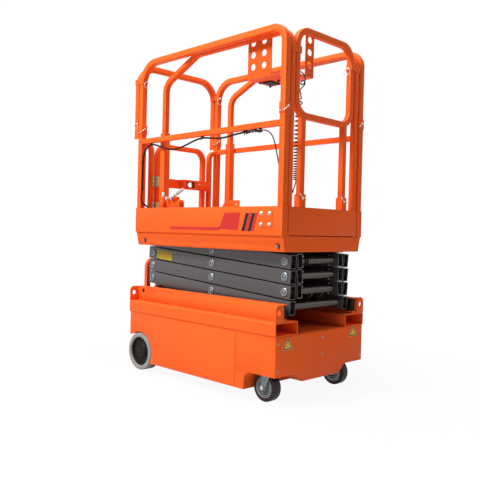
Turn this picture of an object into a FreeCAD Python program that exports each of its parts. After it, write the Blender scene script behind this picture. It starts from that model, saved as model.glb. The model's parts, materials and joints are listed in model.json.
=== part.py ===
import FreeCAD, Part
import math
import os
from types import SimpleNamespace

import Sketcher
from FreeCAD import Placement, Rotation, Vector

# A small self-propelled scissor lift, stowed. Millimetres, +Z up, +X towards the casters and the
# end that the extension deck slides out of, -Y the side with the control-box bracket. The origin
# lies on the floor under the middle of the whole machine.

doc = FreeCAD.newDocument("scissor_lift")
sheet = doc.addObject("Spreadsheet::Sheet", "Sizes")

# Each row: name, size in millimetres (degrees where it says so), what it is.
SIZE_ROWS = (
    ("chassis_length", 1235.0, "lower housing and its side tubes, end to end"),
    ("chassis_width", 760.0, "over the side tubes"),
    ("ladder_reach", 85.0, "entry ladder, out from the chassis"),
    ("housing_inset", 6.0, "housing side, in from the side tube's outer face"),
    ("housing_sheet", 5.0, "sheet of the housing"),
    ("housing_top", 353.0, "top plate of the housing"),
    ("belly_level", 55.0, "belly plate above the floor"),
    ("keel_level", 104.0, "underside of the keel between the wheels"),
    ("keel_slope", 56.0, "keel's side slants in by this down to its underside"),
    ("keel_gap", 5.0, "keel's upper edge from the casters"),
    ("nose_level", 209.0, "lower edge of the nose, in front of the drive wheels"),
    ("nose_lift", 20.0, "the nose's lower edge rises by this up to the drive axle"),
    ("belly_to_swivel", 132.0, "end of the belly from the casters' swivel axes"),
    ("tail_arc", 48.0, "round corner behind the belly"),
    ("arch_gap", 6.5, "round gap between drive wheel and arch"),
    ("arch_depth_gap", 10.0, "gap beside a drive wheel's inner face"),
    ("panel_sheet", 4.0, "bolted end panels"),
    ("cover_sheet", 2.0, "flush covers on the sides"),
    ("panel_margin", 3.0, "panel edge, in from the housing's edge"),
    ("cover_in", 17.5, "side cover's front end, behind the wheel arch"),
    ("cover_back_in", 66.0, "side cover's back end, in from the end of the belly"),
    ("tube_width", 174.0, "side tube (fork pocket), across"),
    ("tube_height", 71.0, "side tube, up"),
    ("tube_wall", 6.0, "wall of the side tube"),
    ("tube_corner", 9.0, "side tube's outer corners"),
    ("channel_height", 89.0, "slide channel on the side tube"),
    ("channel_wall", 5.0, "flanges and web of the slide channels"),
    ("web_in", 56.0, "slide channel's web, in from the side tube's outer face"),
    ("channel_depth", 42.0, "slide channel, across"),
    ("channel_hole", 13.0, "round hole in the channel's web"),
    ("channel_hole_in", 65.0, "that hole, in from the chassis's entry end"),
    ("channel_hole_rise", 63.5, "that hole above the side tube"),
    ("wear_strip", 7.5, "steel strip that the low slide block rides on"),
    ("lug_sheet", 10.0, "tie-down lug plate"),
    ("lug_hole_in", 28.0, "tie-down hole, in from the side tube's outer face"),
    ("lug_hole_rise", 49.0, "tie-down hole above the side tube"),
    ("lug_hole_radius", 14.0, "tie-down hole"),
    ("lug_round", 26.0, "round outer corner of a tie-down lug"),
    ("drive_in", 105.5, "drive axle, in from the chassis's entry end"),
    ("drive_radius", 115.0, "drive wheel"),
    ("drive_width", 80.0, "drive wheel"),
    ("drive_face_in", 5.0, "drive wheel's outer face, in from the side tube's"),
    ("tyre_depth", 27.0, "drive tyre round its disc"),
    ("tyre_round", 9.0, "drive tyre's shoulders"),
    ("disc_recess", 9.0, "disc face, in from the tyre's face, and depth of its dish"),
    ("disc_depth", 27.0, "thickness of the dished disc"),
    ("disc_fillet", 4.0, "round edges of the disc"),
    ("hub_radius", 41.0, "raised hub of the disc"),
    ("axle_radius", 20.0, "drive axle"),
    ("axle_play", 4.0, "round gap between drive axle and housing"),
    ("motor_gap", 5.0, "drive motor above the belly plate"),
    ("motor_length", 150.0, "drive motor"),
    ("battery_gap", 107.0, "battery block from the walls round it"),
    ("battery_head", 58.0, "battery block under the housing's top"),
    ("swivel_in", 86.5, "casters' swivel axes, in from the chassis's end"),
    ("caster_trail", 38.0, "caster wheel's middle, back from its swivel axis"),
    ("caster_in", 88.0, "casters, in from the side tube's outer face"),
    ("caster_radius", 75.0, "caster wheel"),
    ("caster_width", 50.0, "caster wheel"),
    ("tread_depth", 20.0, "caster tread round its metal core"),
    ("caster_hub", 20.0, "hub of the caster wheel's core"),
    ("core_round", 3.0, "round edges of the caster wheel's core"),
    ("tread_round", 6.0, "shoulders of the caster tread"),
    ("caster_bore", 10.0, "caster axle"),
    ("fork_sheet", 6.0, "caster fork"),
    ("fork_gap", 5.0, "gap between caster wheel and fork leg"),
    ("crown_gap", 16.0, "fork crown above the caster wheel"),
    ("fork_eye", 17.0, "round foot of the caster's fork leg"),
    ("stem_rise", 20.0, "caster's top plate above the fork crown"),
    ("well_reach", 81.0, "caster well, from the swivel axis towards the belly"),
    ("caster_plate_sheet", 8.0, "caster's bolted top plate"),
    ("caster_plate_half", 50.0, "caster's top plate, half width"),
    ("caster_stem", 25.0, "caster's swivel bearing"),
    ("pin_drop", 24.0, "lowest arm pins under the slide channel's top"),
    ("stack_gap", 5.25, "between the arms of one stage and the next, stowed"),
    ("pin_in", 61.5, "arms' end pins, in from the chassis's ends"),
    ("arm_height", 74.0, "scissor arm tube"),
    ("arm_wall", 5.0, "scissor arm tube"),
    ("arm_overhang", 40.0, "arm past its end pins"),
    ("arm_bevel", 22.0, "upper corners of the top arms, cut off under the deck"),
    ("lane_gap", 9.0, "inner arms from the side tubes and the outer arms"),
    ("inner_width", 42.0, "inner arm tube"),
    ("outer_width", 44.0, "outer arm tube"),
    ("pin_radius", 15.0, "arm pins"),
    ("pin_play", 0.4, "round clearance of an arm pin in its bore"),
    ("pin_end_gap", 2.0, "arm pin's end from the cross tube"),
    ("boss_radius", 23.0, "bearing boss in an arm"),
    ("cross_radius", 21.0, "cross tubes between the inner arms"),
    ("block_end_gap", 5.0, "low slide block from the channel's lips and web"),
    ("block_length", 90.0, "slide blocks"),
    ("block_play", 0.5, "slide block in its channel"),
    ("bracket_sheet", 12.0, "pivot bracket plates"),
    ("bracket_half", 34.0, "pivot bracket plates, half length along the machine"),
    ("foot_in", 91.8, "cylinder foot along the lowest inner arm, in from its upper pin"),
    ("foot_below", 80.0, "cylinder foot under that arm's middle line"),
    ("eye_along", 110.0, "rod eye along the third inner arm, from its lower pin"),
    ("eye_above", 62.0, "rod eye above that arm's middle line"),
    ("barrel_radius", 35.0, "lift cylinder barrel"),
    ("barrel_bore", 28.0, "inside of the lift cylinder barrel"),
    ("rod_radius", 20.0, "lift cylinder rod"),
    ("rod_show", 180.0, "rod that shows between the barrel and the eye, stowed"),
    ("barrel_foot", 62.0, "solid foot of the lift cylinder barrel"),
    ("gland_length", 20.0, "end cap that the rod passes"),
    ("piston_rest", 290.0, "piston from the foot pin, stowed"),
    ("piston_length", 36.0, "piston on the rod's end"),
    ("foot_half", 36.0, "barrel foot, half width"),
    ("ear_sheet", 12.0, "cylinder ears on the arms"),
    ("ear_gap", 3.0, "ear from the barrel foot or the rod eye"),
    ("ear_round", 30.0, "cylinder ears round their pins"),
    ("eye_half", 24.0, "rod eye and barrel foot, half width"),
    ("eye_radius", 28.0, "rod eye and barrel foot"),
    ("entry_over", 4.0, "platform past the chassis at the entry end"),
    ("platform_short", 5.5, "platform short of the chassis at the other end"),
    ("skirt_in", 35.0, "skirt, in from the side tube's outer face"),
    ("skirt_step", 8.0, "overhang at the crease"),
    ("skirt_slant", 19.0, "lower skirt leans in by this"),
    ("skirt_sheet", 4.0, "sheet of the skirt"),
    ("skirt_hole", 14.0, "round holes in the lower skirt"),
    ("skirt_hole_front", 76.5, "front skirt hole from the platform's entry end"),
    ("skirt_hole_back", 41.0, "back skirt hole from the platform's other end"),
    ("deck_rise", 51.0, "platform floor above the highest arm pins"),
    ("floor_sheet", 4.0, "platform floor"),
    ("toe_width", 118.0, "toe boards beside the gate"),
    ("top_channel_depth", 40.0, "platform channel, across"),
    ("top_channel_gap", 12.0, "platform channel from the outer arms"),
    ("top_channel_half", 29.0, "platform channel, half height"),
    ("channel_front", 90.0, "slide channels' clear run starts here, from the chassis middle"),
    ("post", 36.0, "square tube of the guard frames"),
    ("rail", 30.0, "square tube of the mid rails and the gate"),
    ("sleeve_wall", 3.0, "sleeves round the split"),
    ("sleeve_play", 0.6, "sleeve round its post"),
    ("sleeve_up", 32.0, "sleeve above the split"),
    ("sleeve_down", 26.0, "sleeve below the split"),
    ("clevis_down", 52.0, "entry frame's clevis plates below the split"),
    ("clevis_reach", 12.0, "clevis plates past the entry post's middle"),
    ("front_bend", 150.0, "outer radius of the upper frame's bend at the entry"),
    ("back_bend", 100.0, "outer radius of the upper frame's bend at the extension end"),
    ("front_post_in", 22.5, "front posts, in from the platform's entry end"),
    ("back_post_in", 20.0, "back posts, in from the platform's other end"),
    ("entry_gap", 7.0, "between the folding entry frame and the front posts"),
    ("stub_in", 55.0, "entry stubs' inner posts, in from the front posts"),
    ("stub_bend", 60.0, "outer radius of the stubs' bend"),
    ("hinge_gap", 20.0, "between the gate and the near stub"),
    ("latch_gap", 30.0, "between the gate and the far stub"),
    ("gate_bend", 85.0, "outer radius of the gate's upper corners"),
    ("gate_low_bend", 45.0, "outer radius of the gate's lower corners"),
    ("gate_bar_height", 60.0, "gate's flat bar"),
    ("gate_bar_sheet", 10.0, "gate's flat bar"),
    ("latch_sheet", 3.0, "latch channel on the gate"),
    ("latch_out", 15.0, "latch channel, out from the gate's inner face"),
    ("latch_lip", 2.0, "latch channel past the flat bar, up and down"),
    ("latch_length", 254.0, "latch channel"),
    ("latch_lap", 6.0, "latch channel over the far stub"),
    ("latch_hole_in", 38.0, "finger hole from the latch channel's end"),
    ("latch_hole_length", 71.0, "finger hole"),
    ("latch_hole_height", 41.0, "finger hole"),
    ("hinge_radius", 7.0, "gate hinge knuckles"),
    ("hinge_pin", 3.5, "gate hinge pins"),
    ("hinge_height", 70.0, "gate hinges"),
    ("leaf_sheet", 3.0, "gate hinge leaves"),
    ("leaf_width", 30.0, "gate hinge leaves, from the hinge axis"),
    ("hinge_in", 6.0, "hinge axis, in from the posts' inner face"),
    ("ext_tube", 32.0, "square tube of the extension frames"),
    ("ext_gap", 10.0, "between the main and the extension frames"),
    ("inner_post_in", 200.5, "extension's inner posts from the platform's entry end"),
    ("lean_run", 291.0, "from the inner posts to where their leaning tubes end"),
    ("end_post_in", 22.0, "extension's end posts, in from the platform's other end"),
    ("ext_socket", 42.0, "sockets of the extension's inner posts"),
    ("socket_depth", 84.0, "inner posts' hold in those sockets"),
    ("ext_floor_sheet", 4.0, "extension floor"),
    ("fascia_sheet", 4.0, "fascia"),
    ("runner_width", 15.0, "runners under the extension floor"),
    ("runner_gap", 0.4, "runners above the platform floor"),
    ("loop_gap", 11.0, "end loop from the extension's side frames"),
    ("loop_bend", 100.0, "end loop's outer radius"),
    ("loop_post_in", 72.0, "end loop's posts, in from its side"),
    ("loop_in", 4.0, "end loop's middle, in from the side frames' end posts"),
    ("plate_sheet", 4.0, "control-box bracket"),
    ("side_plate_in", 323.5, "bracket's side plate starts here, from the extension's end posts"),
    ("side_plate_length", 172.0, "bracket's side plate"),
    ("bracket_drop", 8.0, "bracket's upper edges below the frames' top"),
    ("bracket_hole", 18.0, "round holes in the bracket"),
    ("bracket_hole_rise", 65.0, "lowest row of those holes above the bracket's lower edge"),
    ("bracket_hole_up", 64.5, "from row to row of those holes"),
    ("bracket_hole_in", 38.0, "first column of those holes in from the side plate's end"),
    ("bracket_hole_along", 79.5, "from column to column of those holes"),
    ("end_plate_y", 144.0, "bracket's end plate starts here, from the middle plane"),
    ("end_plate_width", 69.0, "bracket's end plate"),
    ("ladder_half", 193.0, "entry ladder's stiles from the middle plane"),
    ("ladder_tube", 28.0, "entry ladder's tube"),
    ("ladder_top", 672.0, "top of the entry ladder"),
    ("ladder_foot", 215.0, "foot of the entry ladder and its lower tread"),
    ("tread_rise", 158.0, "from the ladder's lower tread to its upper one"),
    ("tread_height", 14.0, "treads of the entry ladder"),
    ("ladder_bend", 60.0, "outer radius of the ladder's bends"),
    ("coil_radius", 16.0, "curly cord, over its coil"),
    ("coil_gap", 6.0, "curly cord's coil from the end loop"),
    ("coil_side", 172.0, "curly cord from the middle plane"),
    ("cord_radius", 3.0, "curly cord's own section"),
    ("plug_radius", 11.0, "plug of the curly cord"),
    ("plug_length", 47.0, "plug of the curly cord"),
    ("seat_gap", 0.3, "plugs and cables from what carries them"),
    ("socket_radius", 9.0, "socket that the curly cord ends in"),
    ("cable_radius", 4.5, "cable tied to the near guard frame"),
    ("lead_radius", 2.5, "thin lead after that cable"),
    ("joint_radius", 8.0, "joint between cable and lead"),
    ("lead_plug_radius", 5.0, "end of the lead on the back post"),
    ("lock_length", 152.0, "lock channel at the extension's near inner post"),
    ("lock_width", 36.0, "lock channel, across"),
    ("lock_wall", 4.0, "sheet of the lock channel and the foot plate"),
    ("lock_round", 20.0, "round end of the lock channel"),
    ("lock_pivot", 95.5, "lock lever's pivot from the inner post's socket"),
    ("lock_boss", 14.0, "boss at that pivot"),
    ("plunger_radius", 13.0, "upright lock pin's housing"),
    ("lock_knob", 10.0, "knobs of the lock"),
    ("lever_length", 126.0, "lock lever"),
    ("lever_radius", 6.5, "lock lever"),
    ("lever_rise", 25.0, "lock lever's slope in degrees"),
    ("foot_plate_front", 18.0, "far foot plate past the socket, towards the entry"),
    ("foot_plate_back", 107.0, "far foot plate past the socket, the other way"),
    ("foot_plate_hole", 9.0, "round hole in the far foot plate"),
)

# The same for heights, which are given above the platform floor.
DECK_ROWS = (
    ("skirt_top", 150.0, "top edge of the skirt"),
    ("skirt_crease", 1.0, "crease of the skirt"),
    ("skirt_bottom", -81.0, "lower edge of the skirt"),
    ("skirt_hole_level", -51.0, "round holes in the lower skirt"),
    ("guard_top", 1073.0, "top of the side guard frames"),
    ("mid_rail_top", 585.0, "top of the side mid rails"),
    ("guard_split", 641.0, "where the folding upper frames stand on the lower posts"),
    ("entry_foot", 625.0, "foot of the folding entry frame"),
    ("stub_top", 575.0, "top of the entry stubs and the gate"),
    ("gate_bottom", 48.0, "lower edge of the gate"),
    ("gate_bar_low", 293.0, "gate's flat bar, lower edge"),
    ("hinge_low", 124.0, "lower gate hinge's foot"),
    ("hinge_high", 290.0, "upper gate hinge's foot"),
    ("ext_bend_level", 913.0, "where the extension's inner posts lean over"),
    ("ext_top", 1064.0, "top of the extension side frames"),
    ("ext_socket_top", 613.0, "top of the inner posts' sockets"),
    ("ext_floor", 9.0, "extension floor's top"),
    ("fascia_low", 8.0, "fascia's lower edge"),
    ("loop_low", 608.0, "end loop, lower edge"),
    ("loop_top", 1078.0, "end loop, top"),
    ("loop_socket_top", 218.0, "top of the end posts' sockets"),
    ("side_plate_low", 838.0, "lower edge of the control-box bracket"),
    ("coil_low", 293.0, "lower end of the curly cord's coil"),
    ("coil_top", 723.0, "upper end of the curly cord's coil"),
    ("cord_socket", 229.0, "socket that the curly cord ends in"),
    ("joint_level", 546.7, "joint between the near side's cable and its lead"),
    ("lead_plug_low", 268.0, "lower end of the lead's plug"),
    ("lead_plug_high", 293.0, "upper end of the lead's plug"),
    ("lock_low", 155.0, "lower edge of the lock channel"),
    ("lock_high", 200.0, "top of the lock channel"),
    ("lock_axis", 207.0, "lock lever's pivot"),
    ("plunger_top", 220.0, "top of the upright lock pin's housing"),
    ("foot_plate_low", 186.0, "far foot plate's front corner"),
    ("foot_plate_top", 226.0, "far foot plate's top"),
    ("foot_plate_hole_level", 198.0, "round hole in the far foot plate"),
)
ALL_ROWS = SIZE_ROWS + DECK_ROWS
for row, (name, size, _) in enumerate(ALL_ROWS, start=1):
    sheet.set(f"A{row}", name)
    sheet.set(f"B{row}", str(size))
    sheet.setAlias(f"B{row}", name)
doc.recompute()


class Dim:
    """A length or angle: its present value and the sheet formula that gives it."""

    def __init__(self, value, formula):
        self.value = value
        self.formula = formula

    def __add__(self, other):
        return Dim(self.value + plain(other), f"({self.formula} + {formula(other)})")

    def __sub__(self, other):
        return Dim(self.value - plain(other), f"({self.formula} - {formula(other)})")

    def __mul__(self, other):
        return Dim(self.value * plain(other), f"({self.formula} * {formula(other)})")

    def __truediv__(self, other):
        return Dim(self.value / plain(other), f"({self.formula} / {formula(other)})")

    def __rsub__(self, other):
        return Dim(plain(other) - self.value, f"({formula(other)} - {self.formula})")

    def __neg__(self):
        return Dim(-self.value, f"(-1 * {self.formula})")

    __radd__ = __add__
    __rmul__ = __mul__


def plain(size):
    return size.value if isinstance(size, Dim) else float(size)


def formula(size):
    return size.formula if isinstance(size, Dim) else repr(float(size))


def sine(angle):
    return Dim(math.sin(math.radians(plain(angle))), f"sin({formula(angle)})")


def cosine(angle):
    return Dim(math.cos(math.radians(plain(angle))), f"cos({formula(angle)})")


def root(size):
    return Dim(math.sqrt(plain(size)), f"sqrt({formula(size)})")


def angle_of(rise, run):
    degrees = math.degrees(math.atan2(plain(rise), plain(run)))
    return Dim(degrees, f"(atan2({formula(rise)}; {formula(run)}) / 1 deg)")


def dims(rows, start=0.0):
    """The rows as one value each, all measured from the same level."""
    return SimpleNamespace(**{name: Dim(size, f"Sizes.{name}") + start for name, size, _ in rows})


s = dims(SIZE_ROWS)

# Places worked out from the sizes: the chassis and its wheels.
mid = s.ladder_reach / 2
half = s.chassis_length / 2
side = s.chassis_width / 2
tube_top = s.housing_top + s.tube_height
channel_top = tube_top + s.channel_height
channel_web = side - s.web_in
channel_lip = channel_web - s.channel_depth
housing_side = side - s.housing_inset
tube_inner = side - s.tube_width
drive_x = mid - half + s.drive_in
drive_face = side - s.drive_face_in
keel_side = drive_face - s.drive_width - s.arch_depth_gap
arch = s.drive_radius + s.arch_gap
arch_back = drive_x + arch
disc_radius = s.drive_radius - s.tyre_depth
swivel_x = mid + half - s.swivel_in
caster_x = swivel_x - s.caster_trail
caster_y = side - s.caster_in
caster_core = s.caster_radius - s.tread_depth
tail_level = s.caster_radius * 2
fork_top = tail_level + s.crown_gap + s.fork_sheet
well_top = fork_top + s.stem_rise + s.caster_plate_sheet
belly_end = swivel_x - s.belly_to_swivel
keel_high = caster_y - s.caster_radius - s.keel_gap
keel_low = keel_high - s.keel_slope

# The arms, from the lowest pins up.
left_x = mid - half + s.pin_in
right_x = mid + half - s.pin_in
pin_span = right_x - left_x
pin_level = channel_top - s.pin_drop
stage_rise = s.arm_height + s.stack_gap
tilt = angle_of(stage_rise, pin_span)
arm_pins = root(pin_span * pin_span + stage_rise * stage_rise)
top_pins = pin_level + stage_rise * 4
outer_lane = tube_inner
inner_lane = outer_lane - s.lane_gap - s.inner_width

# The platform, its guards and its extension.
platform_start = mid - half - s.entry_over
platform_end = mid + half - s.platform_short
skirt_side = side - s.skirt_in
floor_top = top_pins + s.deck_rise
floor_under = floor_top - s.floor_sheet
deck = dims(DECK_ROWS, floor_top)
top_channel_lip = outer_lane + s.outer_width + s.top_channel_gap
top_channel_web = top_channel_lip + s.top_channel_depth
front_x = platform_start + s.front_post_in
back_x = platform_end - s.back_post_in
entry_x = front_x - s.post - s.entry_gap
guard_y = skirt_side - s.skirt_sheet - s.post / 2
stub_y = guard_y - s.post / 2 - s.stub_in
gate_near = stub_y - s.rail / 2 - s.hinge_gap
gate_far = stub_y - s.rail / 2 - s.latch_gap
ext_y = guard_y - s.post / 2 - s.ext_gap - s.ext_tube / 2
inner_x = platform_start + s.inner_post_in
end_x = platform_end - s.end_post_in
loop_x = end_x - s.loop_in
loop_face = loop_x - s.ext_tube / 2
loop_half = ext_y - s.ext_tube / 2 - s.loop_gap
loop_post_y = loop_half - s.loop_post_in

PLANES = {"XY": "XY_Plane", "XZ": "XZ_Plane", "YZ": "YZ_Plane"}
nodes = []


def bind(item, **sizes):
    """Ties properties to the sheet, with __ for each dot of the property's path."""
    for path, size in sizes.items():
        item.setExpression(path.replace("__", "."), formula(size))


def place(item, x, y, z):
    bind(item, Placement__Base__x=x, Placement__Base__y=y, Placement__Base__z=z)
    return item


def node(item, label):
    """A sub-part of its own: its label names its file."""
    item.Label = label
    nodes.append(item)
    return item


def block(x, y, z):
    """A box between two values on each axis."""
    item = doc.addObject("Part::Box", "block")
    bind(item, Length=x[1] - x[0], Width=y[1] - y[0], Height=z[1] - z[0])
    return place(item, x[0], y[0], z[0])


def rod(axis, radius, run, centre):
    """A cylinder along one axis; centre gives the other two axes in order."""
    item = doc.addObject("Part::Cylinder", "rod")
    bind(item, Radius=radius, Height=run[1] - run[0])
    if axis == "X":
        item.Placement = Placement(Vector(), Rotation(Vector(0, 1, 0), 90))
        return place(item, run[0], centre[0], centre[1])
    if axis == "Y":
        item.Placement = Placement(Vector(), Rotation(Vector(1, 0, 0), -90))
        return place(item, centre[0], run[0], centre[1])
    return place(item, centre[0], centre[1], run[0])


def fuse(*items):
    item = doc.addObject("Part::MultiFuse", "fuse")
    item.Shapes = list(items)
    return item


def cut(base, *tools):
    item = doc.addObject("Part::Cut", "cut")
    item.Base = base
    item.Tool = tools[0] if len(tools) == 1 else fuse(*tools)
    return item


def mirrored(near):
    """The same piece on the far side."""
    item = doc.addObject("Part::Mirroring", "far")
    item.Source = near
    item.Base = Vector(0, 0, 0)
    item.Normal = Vector(0, 1, 0)
    return item


def group(*items):
    item = doc.addObject("Part::Compound", "group")
    item.Links = list(items)
    return item


def both(near):
    return group(near, mirrored(near))


def heading(start, end):
    """Direction from one point to the next, in degrees."""
    run = end[0] - start[0]
    rise = end[1] - start[1]
    if abs(plain(rise)) < 1e-6:
        return 0.0 if plain(run) > 0 else 180.0
    if abs(plain(run)) < 1e-6:
        return 90.0 if plain(rise) > 0 else -90.0
    return angle_of(rise, run)


def turn_between(before, after):
    turn = after - before
    while plain(turn) > 180.0:
        turn = turn - 360.0
    while plain(turn) < -180.0:
        turn = turn + 360.0
    return turn


def spot(point):
    return Vector(plain(point[0]), plain(point[1]), 0)


def hold(sketch, geometry, end, point):
    """Ties one end of a line or arc to its two lengths from the sketch's origin."""
    for kind, size in zip(("DistanceX", "DistanceY"), point):
        index = sketch.addConstraint(Sketcher.Constraint(kind, -1, 1, geometry, end, plain(size)))
        sketch.setExpression(f"Constraints[{index}]", formula(size))


def draw(sketch, corners):
    """Adds one closed outline; a corner is (across, up) or (across, up, radius)."""
    count = len(corners)
    arrive, leave = [], []
    for index, corner in enumerate(corners):
        if len(corner) == 2:
            arrive.append(corner)
            leave.append(corner)
            continue
        before = heading(corners[index - 1], corner)
        after = heading(corner, corners[(index + 1) % count])
        turn = turn_between(before, after)
        sign = 1 if plain(turn) > 0 else -1
        reach = corner[2] * sine(turn * (sign / 2)) / cosine(turn / 2)
        arrive.append((corner[0] - reach * cosine(before), corner[1] - reach * sine(before)))
        leave.append((corner[0] + reach * cosine(after), corner[1] + reach * sine(after)))
    lines = []
    for index in range(count):
        line = Part.LineSegment(spot(leave[index]), spot(arrive[(index + 1) % count]))
        lines.append(sketch.addGeometry(line, False))
    for index, corner in enumerate(corners):
        before, after = lines[index - 1], lines[index]
        hold(sketch, after, 1, leave[index])
        if len(corner) == 2:
            sketch.addConstraint(Sketcher.Constraint("Coincident", before, 2, after, 1))
            continue
        hold(sketch, before, 2, arrive[index])
        start, end = spot(arrive[index]), spot(leave[index])
        peak = spot(corner)
        chord = (start + end) / 2
        toward = (peak - chord).normalize()
        radius = plain(corner[2])
        sag = radius - math.sqrt(max(radius ** 2 - start.distanceToPoint(end) ** 2 / 4, 0))
        arc = sketch.addGeometry(Part.Arc(start, chord + toward * sag, end), False)
        left = sketch.getPoint(arc, 1).distanceToPoint(start) < 1e-6
        sketch.addConstraint(Sketcher.Constraint("Coincident", before, 2, arc, 1 if left else 2))
        sketch.addConstraint(Sketcher.Constraint("Coincident", arc, 2 if left else 1, after, 1))
        index = sketch.addConstraint(Sketcher.Constraint("Radius", arc, radius))
        sketch.setExpression(f"Constraints[{index}]", formula(corner[2]))


def sketched(body, plane, outlines):
    origin = next(item for item in body.Origin.OriginFeatures if item.Role == PLANES[plane])
    sketch = body.newObject("Sketcher::SketchObject", "outline")
    sketch.AttachmentSupport = [(origin, "")]
    sketch.MapMode = "FlatFace"
    for corners in outlines:
        draw(sketch, corners)
    return sketch


def plate(plane, run, *outlines):
    """A flat piece: outlines on XY, XZ or YZ, as thick as the run along the third axis."""
    body = doc.addObject("PartDesign::Body", "plate")
    sketch = sketched(body, plane, outlines)
    bind(sketch, AttachmentOffset__Base__z=-run[1] if plane == "XZ" else run[0])
    pad = body.newObject("PartDesign::Pad", "pad")
    pad.Profile = sketch
    bind(pad, Length=run[1] - run[0])
    return body


def turned(corners):
    """A wheel-like piece about the Y axis; a corner is (radius, along Y)."""
    body = doc.addObject("PartDesign::Body", "turned")
    sketch = sketched(body, "XY", [corners])
    spin = body.newObject("PartDesign::Revolution", "spin")
    spin.Profile = sketch
    spin.ReferenceAxis = (sketch, ["V_Axis"])
    spin.Angle = 360
    return body


def rectangle(low, high, radius=None):
    corners = ((low[0], low[1]), (high[0], low[1]), (high[0], high[1]), (low[0], high[1]))
    if radius is None:
        return corners
    return tuple(corner + (radius,) for corner in corners)


def offset_side(path, bends, reach, closed):
    """The path moved sideways by reach (to its left where positive), its bends kept round."""
    count = len(path)
    corners = []
    for index, point in enumerate(path):
        first = index == 0 and not closed
        last = index == count - 1 and not closed
        before = heading(path[index - 1], point) if not first else heading(point, path[index + 1])
        after = heading(point, path[(index + 1) % count]) if not last else before
        turn = turn_between(before, after)
        lean = before + turn / 2
        across = reach / cosine(turn / 2)
        corner = (point[0] - across * sine(lean), point[1] + across * cosine(lean))
        if not (first or last):
            inward = 1 if plain(turn) > 0 else -1
            corner += (bends[index] - reach * inward,)
        corners.append(corner)
    return corners


def tube_frame(plane, run, path, bends, tube, closed=False):
    """A bent square tube in one plane: its middle line and the middle radius of each bend."""
    left = offset_side(path, bends, tube / 2, closed)
    right = offset_side(path, bends, tube / -2, closed)
    if closed:
        return plate(plane, run, right, left)
    return plate(plane, run, right + left[::-1])


def housing():
    """The sheet-metal lower body: side profile with wheel arches, keel, and its hollows."""
    front = mid - half + s.panel_sheet
    back = mid + half - s.panel_sheet
    skin = s.housing_sheet
    profile = (
        (front, s.nose_level),
        (drive_x, s.nose_level + s.nose_lift),
        (drive_x, s.belly_level),
        (belly_end, s.belly_level),
        (belly_end, tail_level, s.tail_arc),
        (back, tail_level),
        (back, s.housing_top),
        (front, s.housing_top),
    )
    shell = cut(
        plate("XZ", (-housing_side, housing_side), profile),
        rod("Y", arch, (-housing_side, housing_side), (drive_x, s.drive_radius)),
    )
    nose = block((front, arch_back + skin), (-keel_side, keel_side), (s.belly_level, s.housing_top))
    tail = plate(
        "YZ",
        (belly_end - skin, back),
        (
            (-keel_high, tail_level),
            (-keel_low, s.keel_level),
            (keel_low, s.keel_level),
            (keel_high, tail_level),
            (keel_high, well_top),
            (-keel_high, well_top),
        ),
    )
    top = s.housing_top - skin
    inside = housing_side - skin
    belly = s.belly_level + skin
    over_arch = s.drive_radius + arch + skin
    well_x = (swivel_x - s.well_reach, back - skin)
    wells = block(well_x, (keel_high + skin, inside), (tail_level - skin, well_top))
    hollows = (
        block((arch_back + skin, belly_end - skin), (-inside, inside), (belly, top)),
        block((front + skin, arch_back + skin * 2), (-inside, inside), (over_arch, top)),
        block((front + skin, arch_back + skin * 2), (skin - keel_side, keel_side - skin), (belly, top)),
        block((belly_end - skin * 2, back - skin), (-inside, inside), (well_top + skin, top)),
        block(
            (belly_end - skin * 2, back - skin),
            (skin - keel_low, keel_low - skin),
            (s.keel_level + skin, top),
        ),
        rod("Y", s.axle_radius + s.axle_play, (-keel_side, keel_side), (drive_x, s.drive_radius)),
        both(wells),
    )
    node(cut(fuse(shell, nose, tail), *hollows), "chassis_housing")


def housing_covers():
    """Bolted flush covers on both sides and the two bolted end panels."""
    cover = block(
        (arch_back + s.cover_in, belly_end - s.cover_back_in),
        (-housing_side - s.cover_sheet, -housing_side),
        (s.belly_level + s.panel_margin, s.housing_top - s.panel_margin),
    )
    node(both(cover), "service_covers")
    edge = housing_side - s.panel_margin
    lift = s.panel_margin
    top = s.housing_top - s.panel_margin
    tail = (
        (-edge, tail_level + lift),
        (-keel_high, tail_level + lift),
        (-keel_low, s.keel_level + lift),
        (keel_low, s.keel_level + lift),
        (keel_high, tail_level + lift),
        (edge, tail_level + lift),
        (edge, top),
        (-edge, top),
    )
    belly = keel_side - lift
    nose = (
        (-edge, s.nose_level + lift),
        (-belly, s.nose_level + lift),
        (-belly, s.belly_level + lift),
        (belly, s.belly_level + lift),
        (belly, s.nose_level + lift),
        (edge, s.nose_level + lift),
        (edge, top),
        (-edge, top),
    )
    node(plate("YZ", (mid + half - s.panel_sheet, mid + half), tail), "end_panel_back")
    node(plate("YZ", (mid - half, mid - half + s.panel_sheet), nose), "end_panel_front")


def side_tubes():
    """Rectangular tubes along both sides, open at both ends to take fork tines."""
    outer = rectangle((-side, s.housing_top), (-tube_inner, tube_top), s.tube_corner)
    inner = rectangle(
        (s.tube_wall - side, s.housing_top + s.tube_wall),
        (-tube_inner - s.tube_wall, tube_top - s.tube_wall),
        s.tube_corner - s.tube_wall,
    )
    node(both(plate("YZ", (mid - half, mid + half), outer, inner)), "fork_tubes")


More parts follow.
